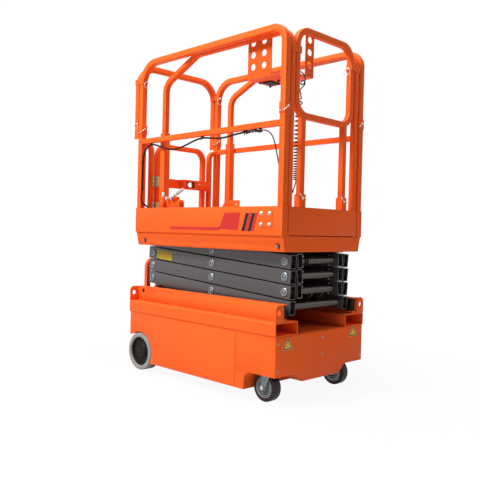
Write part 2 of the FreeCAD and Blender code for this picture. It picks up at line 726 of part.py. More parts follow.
def slide_channels():
    """C channels on the side tubes with their wear strips, and the tie-down lugs at their ends."""
    run = (mid - half + s.lug_sheet, mid + half - s.lug_sheet)
    wall = s.channel_wall
    section = (
        (-channel_web, tube_top),
        (-channel_lip, tube_top),
        (-channel_lip, tube_top + wall),
        (wall - channel_web, tube_top + wall),
        (wall - channel_web, channel_top - wall),
        (-channel_lip, channel_top - wall),
        (-channel_lip, channel_top),
        (-channel_web, channel_top),
    )
    web_hole = rod(
        "Y",
        s.channel_hole,
        (-channel_web, wall - channel_web),
        (mid - half + s.channel_hole_in, tube_top + s.channel_hole_rise),
    )
    strip = block(
        (mid + s.channel_front, run[1]),
        (wall - channel_web, -channel_lip),
        (tube_top + wall, tube_top + wall + s.wear_strip),
    )
    outline = (
        (-channel_web + wall, tube_top),
        (-channel_web + wall, channel_top),
        (-side, channel_top, s.lug_round),
        (-side, tube_top),
    )
    hole = (s.lug_hole_in - side, tube_top + s.lug_hole_rise)
    lugs = []
    for start in (mid - half, mid + half - s.lug_sheet):
        run_x = (start, start + s.lug_sheet)
        lugs.append(cut(plate("YZ", run_x, outline), rod("X", s.lug_hole_radius, run_x, hole)))
    node(both(cut(fuse(plate("YZ", run, section), strip), web_hole)), "slide_channels")
    node(both(group(*lugs)), "tie_down_lugs")


def pivot_brackets():
    """Plates on the side tubes that hold the fixed pins of the lowest inner arms."""
    plate_y = (-tube_inner - s.bracket_sheet, -tube_inner)
    outline = (
        (left_x - s.bracket_half, tube_top),
        (left_x + s.bracket_half, tube_top),
        (left_x + s.bracket_half, pin_level + s.boss_radius, s.boss_radius),
        (left_x - s.bracket_half, pin_level + s.boss_radius, s.boss_radius),
    )
    pin = rod("Y", s.pin_radius, (plate_y[0], -inner_lane - s.pin_end_gap), (left_x, pin_level))
    node(both(fuse(plate("XZ", plate_y, outline), pin)), "pivot_brackets")


def entry_ladder():
    """Bent tube with two treads at the entry end, standing off the front panel."""
    middle_x = mid - half - s.ladder_reach + s.ladder_tube / 2
    y = s.ladder_half
    bend = s.ladder_bend - s.ladder_tube / 2
    path = ((-y, s.ladder_foot), (-y, s.ladder_top), (y, s.ladder_top), (y, s.ladder_foot))
    run = (middle_x - s.ladder_tube / 2, middle_x + s.ladder_tube / 2)
    frame = tube_frame("YZ", run, path, (0, bend, bend, 0), s.ladder_tube)
    inside = s.ladder_tube / 2 - y
    treads = [
        block((run[0], mid - half), (inside, -inside), (level, level + s.tread_height))
        for level in (s.ladder_foot, s.ladder_foot + s.tread_rise)
    ]
    node(fuse(frame, *treads), "entry_ladder")


def drive_train():
    """Battery block on the belly plate, and a motor with its axle for each drive wheel."""
    belly = s.belly_level + s.housing_sheet
    inside = housing_side - s.housing_sheet - s.battery_gap
    node(
        block(
            (arch_back + s.housing_sheet + s.battery_gap, belly_end - s.housing_sheet - s.battery_gap),
            (-inside, inside),
            (belly, s.housing_top - s.housing_sheet - s.battery_head),
        ),
        "battery_block",
    )
    wall = keel_side - s.housing_sheet
    centre = (drive_x, s.drive_radius)
    motor = rod("Y", s.drive_radius - belly - s.motor_gap, (-wall, s.motor_length - wall), centre)
    end = drive_face - s.disc_recess * 2
    axle = rod("Y", s.axle_radius, (-end, -wall), centre)
    node(both(fuse(motor, axle)), "drive_motors")


def drive_wheels():
    """Solid tyre with round shoulders on a dished disc, one at each side."""
    y = s.drive_width / 2
    tyre = (
        (disc_radius, -y, s.disc_fillet),
        (s.drive_radius, -y, s.tyre_round),
        (s.drive_radius, y, s.tyre_round),
        (disc_radius, y, s.disc_fillet),
    )
    face = s.disc_recess - y
    dish = face + s.disc_recess
    rim = disc_radius - s.disc_recess
    bore = s.axle_radius + s.pin_play
    disc = (
        (0, face),
        (s.hub_radius, face, s.disc_fillet),
        (s.hub_radius + s.disc_recess, dish, s.disc_fillet),
        (rim, dish, s.disc_fillet),
        (rim, face),
        (disc_radius, face),
        (disc_radius, -face),
        (rim, -face),
        (rim, face + s.disc_depth, s.disc_fillet),
        (s.hub_radius, face + s.disc_depth, s.disc_fillet),
        (s.hub_radius, -face),
        (bore, -face),
        (bore, dish),
        (0, dish),
    )
    y_near = s.drive_width / 2 - drive_face
    tyre_near = place(turned(tyre), drive_x, y_near, s.drive_radius)
    disc_near = place(turned(disc), drive_x, y_near, s.drive_radius)
    node(tyre_near, "drive_tyre_near")
    node(disc_near, "drive_disc_near")
    node(mirrored(tyre_near), "drive_tyre_far")
    node(mirrored(disc_near), "drive_disc_far")


def casters():
    """Swivel casters in wells under the tail: plate, fork with axle, metal core and tread."""
    y = -caster_y
    crown = fork_top - s.fork_sheet
    bearing = well_top - s.caster_plate_sheet
    plate_x = (swivel_x - s.caster_plate_half, swivel_x + s.caster_plate_half)
    plate_y = (y - s.caster_plate_half, y + s.caster_plate_half)
    top_plate = fuse(
        block(plate_x, plate_y, (bearing, well_top)),
        rod("Z", s.caster_stem, (fork_top + s.pin_play, bearing), (swivel_x, y)),
    )
    node(both(top_plate), "caster_plates")
    inside = s.caster_width / 2 + s.fork_gap
    crown_x = (swivel_x - s.caster_plate_half, swivel_x + s.caster_stem)
    leg_outline = (
        (crown_x[0], fork_top),
        (caster_x - s.fork_eye, s.caster_radius),
        (caster_x + s.fork_eye, s.caster_radius),
        (crown_x[1], fork_top),
    )
    axis = (caster_x, s.caster_radius)
    legs = []
    for start in (y - inside - s.fork_sheet, y + inside):
        leg_y = (start, start + s.fork_sheet)
        legs += [plate("XZ", leg_y, leg_outline), rod("Y", s.fork_eye, leg_y, axis)]
    reach = inside + s.fork_sheet
    top = block(crown_x, (y - reach, y + reach), (crown, fork_top))
    fork = fuse(top, rod("Y", s.caster_bore, (y - reach, y + reach), axis), *legs)
    w = s.caster_width / 2
    bore = s.caster_bore + s.pin_play
    tread = (
        (caster_core, -w),
        (s.caster_radius, -w, s.tread_round),
        (s.caster_radius, w, s.tread_round),
        (caster_core, w),
    )
    web = w / 2
    lip = w - s.core_round
    core = (
        (bore, -w),
        (s.caster_hub, -w),
        (s.caster_hub, -web, s.core_round),
        (caster_core - s.fork_sheet, -web, s.core_round),
        (caster_core - s.fork_sheet, -lip),
        (caster_core, -lip),
        (caster_core, lip),
        (caster_core - s.fork_sheet, lip),
        (caster_core - s.fork_sheet, web, s.core_round),
        (s.caster_hub, web, s.core_round),
        (s.caster_hub, w),
        (bore, w),
    )
    tread_near = place(turned(tread), caster_x, y, s.caster_radius)
    core_near = place(turned(core), caster_x, y, s.caster_radius)
    for name, near in (("fork", fork), ("tread", tread_near), ("core", core_near)):
        node(near, f"caster_{name}_near")
        node(mirrored(near), f"caster_{name}_far")


def arm_box(lane, width):
    """A near arm from its left pin at the origin: open box tube with a boss at each pin."""
    y = (-lane - width, -lane)
    wall = s.arm_wall
    run = (-s.arm_overhang, arm_pins + s.arm_overhang)
    tube = cut(
        block(run, y, (s.arm_height / -2, s.arm_height / 2)),
        block(run, (y[0] + wall, y[1] - wall), (wall - s.arm_height / 2, s.arm_height / 2 - wall)),
    )
    bosses = [rod("Y", s.boss_radius, y, (along, 0)) for along in (0, arm_pins / 2, arm_pins)]
    return fuse(tube, *bosses)


def bevelled(arm, lane, width, along):
    """The arm without the upper corner of the end at this distance from its first pin."""
    top = s.arm_height / 2
    inward = s.arm_bevel if plain(along) < 0 else -s.arm_bevel
    corner = ((along + inward, top), (along, top - s.arm_bevel), (along, top))
    return cut(arm, plate("XZ", (-lane - width, -lane), corner))


def ears(near_y, start, end):
    """Two ear plates from a cross tube to a cylinder pin."""
    run = heading(start, end)
    aside = (s.ear_round * sine(run), s.ear_round * cosine(run))
    outline = (
        (start[0] - aside[0], start[1] + aside[1]),
        (start[0] + aside[0], start[1] - aside[1]),
        (end[0] + aside[0], end[1] - aside[1]),
        (end[0] - aside[0], end[1] + aside[1]),
    )
    run_y = (-near_y - s.ear_sheet, -near_y)
    blank = fuse(plate("XZ", run_y, outline), rod("Y", s.ear_round, run_y, end))
    return [blank, mirrored(blank)]


def leaned(item, up, angle, x, z):
    """Sets a piece that was built flat at its pin, turned up or down about the Y axis."""
    item.Placement = Placement(Vector(), Rotation(Vector(0, -1 if up else 1, 0), 1))
    bind(item, Placement__Rotation__Angle=angle)
    return place(item, x, 0, z)


def inner_arms(stage):
    """Both inner arms of a stage with their cross tubes, and cylinder ears where they belong."""
    lane = (-inner_lane - s.inner_width, -inner_lane)
    bored = (0, arm_pins / 2) if stage == 4 else (0, arm_pins / 2, arm_pins)
    near = cut(
        arm_box(inner_lane, s.inner_width),
        *[rod("Y", s.pin_radius + s.pin_play, lane, (along, 0)) for along in bored],
    )
    if stage == 4:
        near = bevelled(near, inner_lane, s.inner_width, arm_pins + s.arm_overhang)
        reach = top_channel_web - s.channel_wall - s.pin_end_gap
        near = fuse(near, rod("Y", s.pin_radius, (-reach, lane[0]), (arm_pins, 0)))
    pieces = [near, mirrored(near)]
    for along in (0, arm_pins):
        pieces.append(rod("Y", s.cross_radius, (-inner_lane, inner_lane), (along, 0)))
    if stage == 1:
        foot = (arm_pins - s.foot_in, -s.foot_below)
        gap = s.foot_half + s.ear_gap
        pieces += ears(gap, (arm_pins, 0), foot)
        pieces.append(rod("Y", s.pin_radius, (-gap - s.ear_sheet, gap + s.ear_sheet), foot))
    if stage == 3:
        pieces += ears(s.eye_half + s.ear_gap, (0, 0), (s.eye_along, s.eye_above))
    level = pin_level + stage_rise * (stage - 1)
    node(leaned(fuse(*pieces), True, tilt, left_x, level), f"inner_arms_{stage}")


def outer_arms(stage):
    """Both outer arms of a stage with the pins that they carry into the inner arms."""
    near = arm_box(outer_lane, s.outer_width)
    if stage == 4:
        near = bevelled(near, outer_lane, s.outer_width, -s.arm_overhang)
    pin_end = -inner_lane - s.pin_end_gap
    pinned = (0, arm_pins / 2) if stage == 1 else (0, arm_pins / 2, arm_pins)
    pieces = [near] + [rod("Y", s.pin_radius, (-outer_lane, pin_end), (along, 0)) for along in pinned]
    level = pin_level + stage_rise * stage
    if stage > 1:
        arms = both(fuse(*pieces))
    else:
        reach = channel_web - s.channel_wall - s.block_end_gap
        pieces.append(rod("Y", s.pin_radius, (-reach, -outer_lane), (arm_pins, 0)))
        axle = rod("Y", s.cross_radius, (-outer_lane, outer_lane), (arm_pins, 0))
        near = fuse(*pieces)
        arms = fuse(near, mirrored(near), axle)
    node(leaned(arms, False, tilt, left_x, level), f"outer_arms_{stage}")


def slide_blocks():
    """Blocks at the sliding pins: the low pair in the chassis, the top pair under the deck."""
    x = (right_x - s.block_length / 2, right_x + s.block_length / 2)
    bore = s.pin_radius + s.pin_play
    y = (s.channel_wall + s.block_end_gap - channel_web, -channel_lip - s.block_end_gap)
    low = tube_top + s.channel_wall + s.wear_strip + s.block_play
    high = channel_top - s.channel_wall - s.block_play
    near = cut(block(x, y, (low, high)), rod("Y", bore, y, (right_x, pin_level)))
    node(both(near), "slide_blocks_low")
    y = (s.channel_wall + s.pin_end_gap - top_channel_web, -top_channel_lip - s.pin_end_gap)
    reach = s.top_channel_half - s.channel_wall - s.block_play
    near = cut(block(x, y, (top_pins - reach, top_pins + reach)), rod("Y", bore, y, (right_x, top_pins)))
    node(both(near), "slide_blocks_top")


def lift_cylinder():
    """Barrel on the lowest inner arms and rod towards the third, both set at the foot pin."""
    foot_along = arm_pins - s.foot_in
    foot_x = left_x + foot_along * cosine(tilt) + s.foot_below * sine(tilt)
    foot_z = pin_level + foot_along * sine(tilt) - s.foot_below * cosine(tilt)
    eye_x = left_x + s.eye_along * cosine(tilt) - s.eye_above * sine(tilt)
    eye_z = pin_level + stage_rise * 2 + s.eye_along * sine(tilt) + s.eye_above * cosine(tilt)
    run, rise = eye_x - foot_x, eye_z - foot_z
    angle = angle_of(rise, run)
    closed = root(run * run + rise * rise)
    mouth = closed - s.rod_show
    half_foot = (-s.foot_half, s.foot_half)
    barrel = cut(
        fuse(
            rod("X", s.barrel_radius, (s.eye_radius / 2, mouth), (0, 0)),
            rod("Y", s.eye_radius, half_foot, (0, 0)),
        ),
        rod("Y", s.pin_radius + s.pin_play, half_foot, (0, 0)),
        rod("X", s.barrel_bore, (s.barrel_foot, mouth - s.gland_length), (0, 0)),
        rod("X", s.rod_radius + s.pin_play, (mouth - s.gland_length, mouth), (0, 0)),
    )
    tail = s.piston_rest
    plunger = fuse(
        rod("X", s.rod_radius, (tail, closed), (0, 0)),
        rod("X", s.barrel_bore - s.pin_play, (tail, tail + s.piston_length), (0, 0)),
        rod("Y", s.eye_radius, (-s.eye_half, s.eye_half), (closed, 0)),
    )
    node(leaned(barrel, True, angle, foot_x, foot_z), "lift_cylinder_barrel")
    node(leaned(plunger, True, angle, foot_x, foot_z), "lift_cylinder_rod")


def platform_tub():
    """Deck floor inside a folded skirt that steps in and leans under its crease."""
    run = (platform_start, platform_end)
    skin = s.skirt_sheet
    stepped = skirt_side - s.skirt_step
    low = stepped - s.skirt_slant
    wall = (
        (-skirt_side, deck.skirt_top),
        (-skirt_side, deck.skirt_crease),
        (-stepped, deck.skirt_crease),
        (-low, deck.skirt_bottom),
        (skin - low, deck.skirt_bottom),
        (skin - stepped, deck.skirt_crease + skin),
        (skin - skirt_side, deck.skirt_crease + skin),
        (skin - skirt_side, deck.skirt_top),
    )
    hole_y = (-stepped, skin - low)
    holes = [
        rod("Y", s.skirt_hole, hole_y, (x, deck.skirt_hole_level))
        for x in (platform_start + s.skirt_hole_front, platform_end - s.skirt_hole_back)
    ]
    near = cut(plate("YZ", run, wall), *holes)
    end = (
        (-stepped, floor_top),
        (-low, deck.skirt_bottom + s.skirt_slant),
        (s.skirt_slant - low, deck.skirt_bottom),
        (low - s.skirt_slant, deck.skirt_bottom),
        (low, deck.skirt_bottom + s.skirt_slant),
        (stepped, floor_top),
    )
    floor = block(run, (skin - stepped, stepped - skin), (floor_under, floor_top))
    toe = block(
        (run[0], run[0] + skin),
        (skin - skirt_side, skin - skirt_side + s.toe_width),
        (deck.skirt_crease, deck.skirt_top),
    )
    ends = [plate("YZ", (start, start + skin), end) for start in (run[0], run[1] - skin)]
    node(fuse(near, mirrored(near), floor, toe, mirrored(toe), *ends), "platform_tub")


def platform_underframe():
    """Slide channels for the top blocks and the brackets of the fixed upper pins."""
    wall = s.channel_wall
    low, high = top_pins - s.top_channel_half, top_pins + s.top_channel_half
    section = (
        (-top_channel_web, low),
        (-top_channel_lip, low),
        (-top_channel_lip, low + wall),
        (wall - top_channel_web, low + wall),
        (wall - top_channel_web, high - wall),
        (-top_channel_lip, high - wall),
        (-top_channel_lip, high),
        (-top_channel_web, high),
    )
    run = (mid + s.channel_front, platform_end - s.skirt_sheet)
    channel = plate("YZ", run, section)
    hanger = block(run, (-top_channel_web, -top_channel_lip), (high, floor_under))
    node(both(fuse(channel, hanger)), "platform_channels")
    y = (-inner_lane - s.inner_width, s.bracket_sheet - inner_lane - s.inner_width)
    outline = (
        (left_x - s.bracket_half, floor_under),
        (left_x - s.bracket_half, top_pins - s.boss_radius, s.boss_radius),
        (left_x + s.bracket_half, top_pins - s.boss_radius, s.boss_radius),
        (left_x + s.bracket_half, floor_under),
    )
    bore = rod("Y", s.pin_radius + s.pin_play, y, (left_x, top_pins))
    node(both(cut(plate("XZ", y, outline), bore)), "platform_brackets")


def square(centre, size, z):
    """An upright square tube round a point in plan."""
    edge = size / 2
    return block((centre[0] - edge, centre[0] + edge), (centre[1] - edge, centre[1] + edge), z)


def sleeve(centre, low, split, high):
    """A square sleeve on the upper post, open under the split to take the lower one."""
    inner = s.post + s.sleeve_play * 2
    outer = inner + s.sleeve_wall * 2
    return cut(square(centre, outer, (low, high)), square(centre, inner, (low, split)))


def side_guards():
    """Lower posts with the mid rail, and the folding upper frame that stands on them."""
    y = -guard_y
    centre = deck.mid_rail_top - s.rail / 2
    foot = deck.skirt_crease + s.skirt_sheet
    posts = [square((x, y), s.post, (foot, deck.guard_split)) for x in (front_x, back_x)]
    rail = block(
        (front_x + s.post / 2, back_x - s.post / 2),
        (y - s.rail / 2, y + s.rail / 2),
        (centre - s.rail / 2, centre + s.rail / 2),
    )
    hold = s.post / 2 + s.sleeve_play
    clevis_x = (entry_x - s.clevis_reach, front_x - hold - s.sleeve_wall - s.sleeve_play)
    clevis_z = (deck.guard_split - s.clevis_down, deck.guard_split + s.sleeve_up)
    web_x = (entry_x + hold, front_x - s.post / 2)
    web_z = (clevis_z[0], deck.guard_split - s.sleeve_down - s.sleeve_play)
    clevis = [
        block(clevis_x, (y + hold, y + hold + s.sleeve_wall), clevis_z),
        block(clevis_x, (y - hold - s.sleeve_wall, y - hold), clevis_z),
        block(web_x, (y - hold - s.sleeve_wall, y + hold + s.sleeve_wall), web_z),
    ]
    lower = fuse(*posts, rail, *clevis)
    node(lower, "guard_lower_near")
    node(mirrored(lower), "guard_lower_far")
    top = deck.guard_top - s.post / 2
    path = ((front_x, deck.guard_split), (front_x, top), (back_x, top), (back_x, deck.guard_split))
    bends = (0, s.front_bend - s.post / 2, s.back_bend - s.post / 2, 0)
    hoop = tube_frame("XZ", (y - s.post / 2, y + s.post / 2), path, bends, s.post)
    sleeve_z = (deck.guard_split - s.sleeve_down, deck.guard_split, deck.guard_split + s.sleeve_up)
    upper = fuse(hoop, *[sleeve((x, y), *sleeve_z) for x in (front_x, back_x)])
    node(upper, "guard_upper_near")
    node(mirrored(upper), "guard_upper_far")


def entry_end():
    """Fixed stubs beside the gate, the folding entry frame, and the gate on its hinges."""
    x = front_x
    inner = guard_y - s.post / 2
    level = deck.stub_top - s.rail / 2
    run = (x - s.rail / 2, x + s.rail / 2)
    path = ((-inner, level), (-stub_y, level), (-stub_y, floor_top))
    stub = tube_frame("YZ", run, path, (0, s.stub_bend - s.rail / 2, 0), s.rail)
    node(both(stub), "entry_stubs")
    top = deck.guard_top - s.post / 2
    y = guard_y
    bend = s.front_bend - s.post / 2
    path = ((-y, deck.entry_foot), (-y, top), (y, top), (y, deck.entry_foot))
    hoop = tube_frame("YZ", (entry_x - s.post / 2, entry_x + s.post / 2), path, (0, bend, bend, 0), s.post)
    node(hoop, "guard_upper_entry")
    near, far = s.rail / 2 - gate_near, gate_far - s.rail / 2
    foot = deck.gate_bottom + s.rail / 2
    bend = s.gate_bend - s.rail / 2
    low_bend = s.gate_low_bend - s.rail / 2
    corners = ((near, foot), (far, foot), (far, level), (near, level))
    loop = tube_frame("YZ", run, corners, (low_bend, low_bend, bend, bend), s.rail, closed=True)
    bar_x = (x - s.gate_bar_sheet / 2, x + s.gate_bar_sheet / 2)
    bar_z = (deck.gate_bar_low, deck.gate_bar_low + s.gate_bar_height)
    bar = block(bar_x, (near, far), bar_z)
    latch_end = stub_y - s.rail / 2 + s.latch_lap
    latch_y = (latch_end - s.latch_length, latch_end)
    latch_z = (bar_z[0] - s.latch_lip, bar_z[1] + s.latch_lip)
    skin = s.latch_sheet
    latch = cut(
        block((run[1], run[1] + s.latch_out), latch_y, latch_z),
        block((run[1], run[1] + s.latch_out - skin), latch_y, (latch_z[0] + skin, latch_z[1] - skin)),
    )
    hole_y = latch_y[0] + s.latch_hole_in
    hole_z = (bar_z[0] + bar_z[1] - s.latch_hole_height) / 2
    finger_hole = block(
        (bar_x[0], run[1] + s.latch_out),
        (hole_y, hole_y + s.latch_hole_length),
        (hole_z, hole_z + s.latch_hole_height),
    )
    node(cut(fuse(loop, bar, latch), finger_hole), "gate")


def gate_hinges():
    """Butt hinges on the inner face of the gate and the near stub, with a shared upright axis."""
    face = front_x + s.rail / 2
    axis_x = face + s.hinge_in
    axis_y = -(gate_near + stub_y - s.rail / 2) / 2
    leaf_x = (face, face + s.leaf_sheet)
    centre = (axis_x, axis_y)
    clear = s.pin_play
    fixed, moving = [], []
    for low in (deck.hinge_low, deck.hinge_high):
        third = s.hinge_height / 3
        high = low + s.hinge_height
        middle = (low + third, low + third * 2)
        fixed_leaf = block(leaf_x, (axis_y - s.leaf_width, axis_y - s.hinge_pin), (low, high))
        moving_leaf = block(leaf_x, (axis_y + s.hinge_pin, axis_y + s.leaf_width), (low, high))
        gap = rod("Z", s.hinge_radius + clear, (middle[0] - clear, middle[1] + clear), centre)
        pin = rod("Z", s.hinge_pin, (low, high), centre)
        fixed.append(fuse(cut(fuse(fixed_leaf, rod("Z", s.hinge_radius, (low, high), centre)), gap), pin))
        ends = [
            rod("Z", s.hinge_radius + clear, (low - clear, middle[0]), centre),
            rod("Z", s.hinge_radius + clear, (middle[1], high + clear), centre),
            rod("Z", s.hinge_pin + clear, (low, high), centre),
        ]
        moving.append(cut(fuse(moving_leaf, rod("Z", s.hinge_radius, middle, centre)), *ends))
    node(group(*fixed), "gate_hinges_fixed")
    node(group(*moving), "gate_hinges_swing")


def extension():
    """Sliding deck with its fascia, its side frames in their sockets and the end loop."""
    width = ext_y + s.ext_tube / 2
    start = inner_x - s.ext_socket / 2
    front = platform_end - s.fascia_sheet
    floor_z = (deck.ext_floor - s.ext_floor_sheet, deck.ext_floor)
    floor = block((start, platform_end), (-width, width), floor_z)
    runner_y = (-width, s.runner_width - width)
    runner = block((start, front), runner_y, (floor_top + s.runner_gap, deck.ext_floor))
    fascia = block((front, platform_end), (-width, width), (deck.fascia_low, deck.skirt_top))
    hole = s.ext_tube + s.sleeve_play * 2
    sockets = []
    for x, y, top in (
        (inner_x, -ext_y, deck.ext_socket_top),
        (inner_x, ext_y, deck.ext_socket_top),
        (loop_x, -loop_post_y, deck.loop_socket_top),
        (loop_x, loop_post_y, deck.loop_socket_top),
    ):
        tube = square((x, y), s.ext_socket, (deck.ext_floor, top))
        sockets.append(cut(tube, square((x, y), hole, (deck.ext_floor, top))))
    node(fuse(floor, runner, mirrored(runner), fascia, *sockets), "extension_deck")
    sunk = deck.ext_socket_top - s.socket_depth
    top = deck.ext_top - s.ext_tube / 2
    path = (
        (inner_x, sunk),
        (inner_x, deck.ext_bend_level),
        (inner_x + s.lean_run, top),
        (end_x, top),
        (end_x, deck.ext_floor),
    )
    bend = s.back_bend - s.ext_tube / 2
    run = (-ext_y - s.ext_tube / 2, s.ext_tube / 2 - ext_y)
    frame = tube_frame("XZ", run, path, (0, bend, bend, bend, 0), s.ext_tube)
    node(frame, "extension_side_near")
    node(mirrored(frame), "extension_side_far")
    x = (loop_x - s.ext_tube / 2, loop_x + s.ext_tube / 2)
    reach = loop_half - s.ext_tube / 2
    low, high = deck.loop_low + s.ext_tube / 2, deck.loop_top - s.ext_tube / 2
    corners = ((-reach, low), (reach, low), (reach, high), (-reach, high))
    bend = s.loop_bend - s.ext_tube / 2
    loop = tube_frame("YZ", x, corners, (bend,) * 4, s.ext_tube, closed=True)
    posts = [
        block(x, (y - s.ext_tube / 2, y + s.ext_tube / 2), (deck.ext_floor, low))
        for y in (-loop_post_y, loop_post_y)
    ]
    node(fuse(loop, *posts), "extension_end_loop")


def control_bracket():
    """Bent bracket for the absent control box: holed side and end plates joined by a shelf."""
    skin = s.plate_sheet
    x = (end_x - s.side_plate_in, end_x - s.side_plate_in + s.side_plate_length)
    y = s.ext_tube / 2 - ext_y
    low = deck.side_plate_low
    side = block(x, (y, y + skin), (low, deck.ext_top - s.bracket_drop))
    end_y = (-s.end_plate_y, s.end_plate_width - s.end_plate_y)
    end = block((loop_face - skin, loop_face), end_y, (low, deck.loop_top - s.bracket_drop))
    shelf = block((x[0], loop_face), (y, end_y[1]), (low, low + skin))
    first = x[0] + s.bracket_hole_in
    middle = end_y[0] + s.end_plate_width / 2
    holes = []
    for row in (0, 1, 2):
        z = low + s.bracket_hole_rise + s.bracket_hole_up * row
        for across in (first, first + s.bracket_hole_along):
            holes.append(rod("Y", s.bracket_hole, (y, y + skin), (across, z)))
        holes.append(rod("X", s.bracket_hole, (loop_face - skin, loop_face), (middle, z)))
    node(cut(fuse(side, end, shelf), *holes), "control_bracket")


KNOB_SLENDERNESS = 2.5  # a lock knob's length over its radius
SIDE_KNOB_REACH = 3  # side knob before the lever's pivot, in radii of the boss
LEVER_GAP = 1.5  # lever's middle beside the lock channel, in radii of the boss
FOOT_HOLE_EDGE = 3  # foot plate's hole from the plate's end, in radii of the hole


def deck_locks():
    """Lock channel at the extension's near inner post, its lever and knobs, and the far foot plate."""
    start = inner_x + s.ext_socket / 2
    end = start + s.lock_length
    y = (-ext_y - s.lock_width / 2, s.lock_width / 2 - ext_y)
    outline = (
        (start, deck.lock_low),
        (end, deck.lock_low),
        (end, deck.lock_high, s.lock_round),
        (start, deck.lock_high),
    )
    wall = s.lock_wall
    hollow_y = (y[0] + wall, y[1] - wall)
    hollow = block((start, end - s.lock_round), hollow_y, (deck.lock_low, deck.lock_high - wall))
    pivot = (start + s.lock_pivot, deck.lock_axis)
    boss = rod("Y", s.lock_boss, (y[0] - s.lock_boss / 2, y[1]), pivot)
    pin_at = (start + s.plunger_radius, y[0] - s.plunger_radius)
    plunger = rod("Z", s.plunger_radius, (deck.lock_low, deck.plunger_top), pin_at)
    collar_x = (pin_at[0], pin_at[0] + s.plunger_radius)
    collar = block(collar_x, (pin_at[1], y[0]), (deck.lock_low, deck.lock_high))
    channel = fuse(cut(plate("XZ", y, outline), hollow), boss, plunger, collar)
    inner = ext_y - s.ext_socket / 2
    left, right = inner_x - s.ext_socket / 2, inner_x + s.ext_socket / 2
    foot = (
        (left - s.foot_plate_front, deck.ext_floor),
        (right + s.foot_plate_back, deck.ext_floor),
        (right + s.foot_plate_back, deck.foot_plate_top),
        (left + s.foot_plate_front, deck.foot_plate_top),
        (left - s.foot_plate_front, deck.foot_plate_low),
    )
    run = (inner - s.lock_wall, inner)
    hole_at = (right + s.foot_plate_back - s.foot_plate_hole * FOOT_HOLE_EDGE, deck.foot_plate_hole_level)
    foot_plate = cut(plate("XZ", run, foot), rod("Y", s.foot_plate_hole, run, hole_at))
    node(group(channel, foot_plate), "deck_locks")
    knob_length = s.lock_knob * KNOB_SLENDERNESS
    top_knob = rod("Z", s.lock_knob, (deck.plunger_top, deck.plunger_top + knob_length), pin_at)
    knob_at = (pivot[0] - s.lock_boss * SIDE_KNOB_REACH, pivot[1])
    side_knob = rod("Y", s.lock_knob, (y[0] - knob_length, y[0]), knob_at)
    lever = rod("X", s.lever_radius, (0, s.lever_length), (0, 0))
    stem = rod("Y", s.lever_radius, (s.lever_radius / -2, s.lock_boss), (0, 0))
    lever_y = y[0] - s.lock_boss * LEVER_GAP
    handle = leaned(fuse(lever, stem), True, s.lever_rise, pivot[0], pivot[1])
    bind(handle, Placement__Base__y=lever_y)
    node(group(top_knob, side_knob, handle), "lock_levers")


def cord_tube(radius, points):
    """A round cord: straight runs between the points, joined by arcs as large as the runs allow."""
    points = [Vector(*(plain(value) for value in point)) for point in points]
    runs = [after - before for before, after in zip(points, points[1:])]
    edges, start, radii = [], points[0], []
    for index, point in enumerate(points[1:-1]):
        before, after = runs[index], runs[index + 1]
        half_turn = before.getAngle(after) / 2
        reach = 0.45 * min(before.Length, after.Length)
        radii.append(reach / math.tan(half_turn))
        arrive = point - before.normalize() * reach
        leave = point + Vector(after).normalize() * reach
        centre_way = (leave - point) + (arrive - point)
        peak_gap = radii[-1] / math.cos(half_turn) - radii[-1]
        middle = point + centre_way.normalize() * peak_gap
        edges += [Part.LineSegment(start, arrive).toShape(), Part.Arc(arrive, middle, leave).toShape()]
        start = leave
    edges.append(Part.LineSegment(start, points[-1]).toShape())
    path = Part.Wire(edges)
    section = Part.Wire(Part.makeCircle(plain(radius), points[0], points[1] - points[0]))
    item = doc.addObject("Part::Feature", "cord")
    item.Shape = path.makePipeShell([section], True, False)
    share = item.Shape.Volume / (math.pi * plain(radius) ** 2 * path.Length)
    sizes = [round(size) for size in radii]
    print("cord", round(path.Length), "long, radii", sizes, "volume share", round(share, 4))
    return item


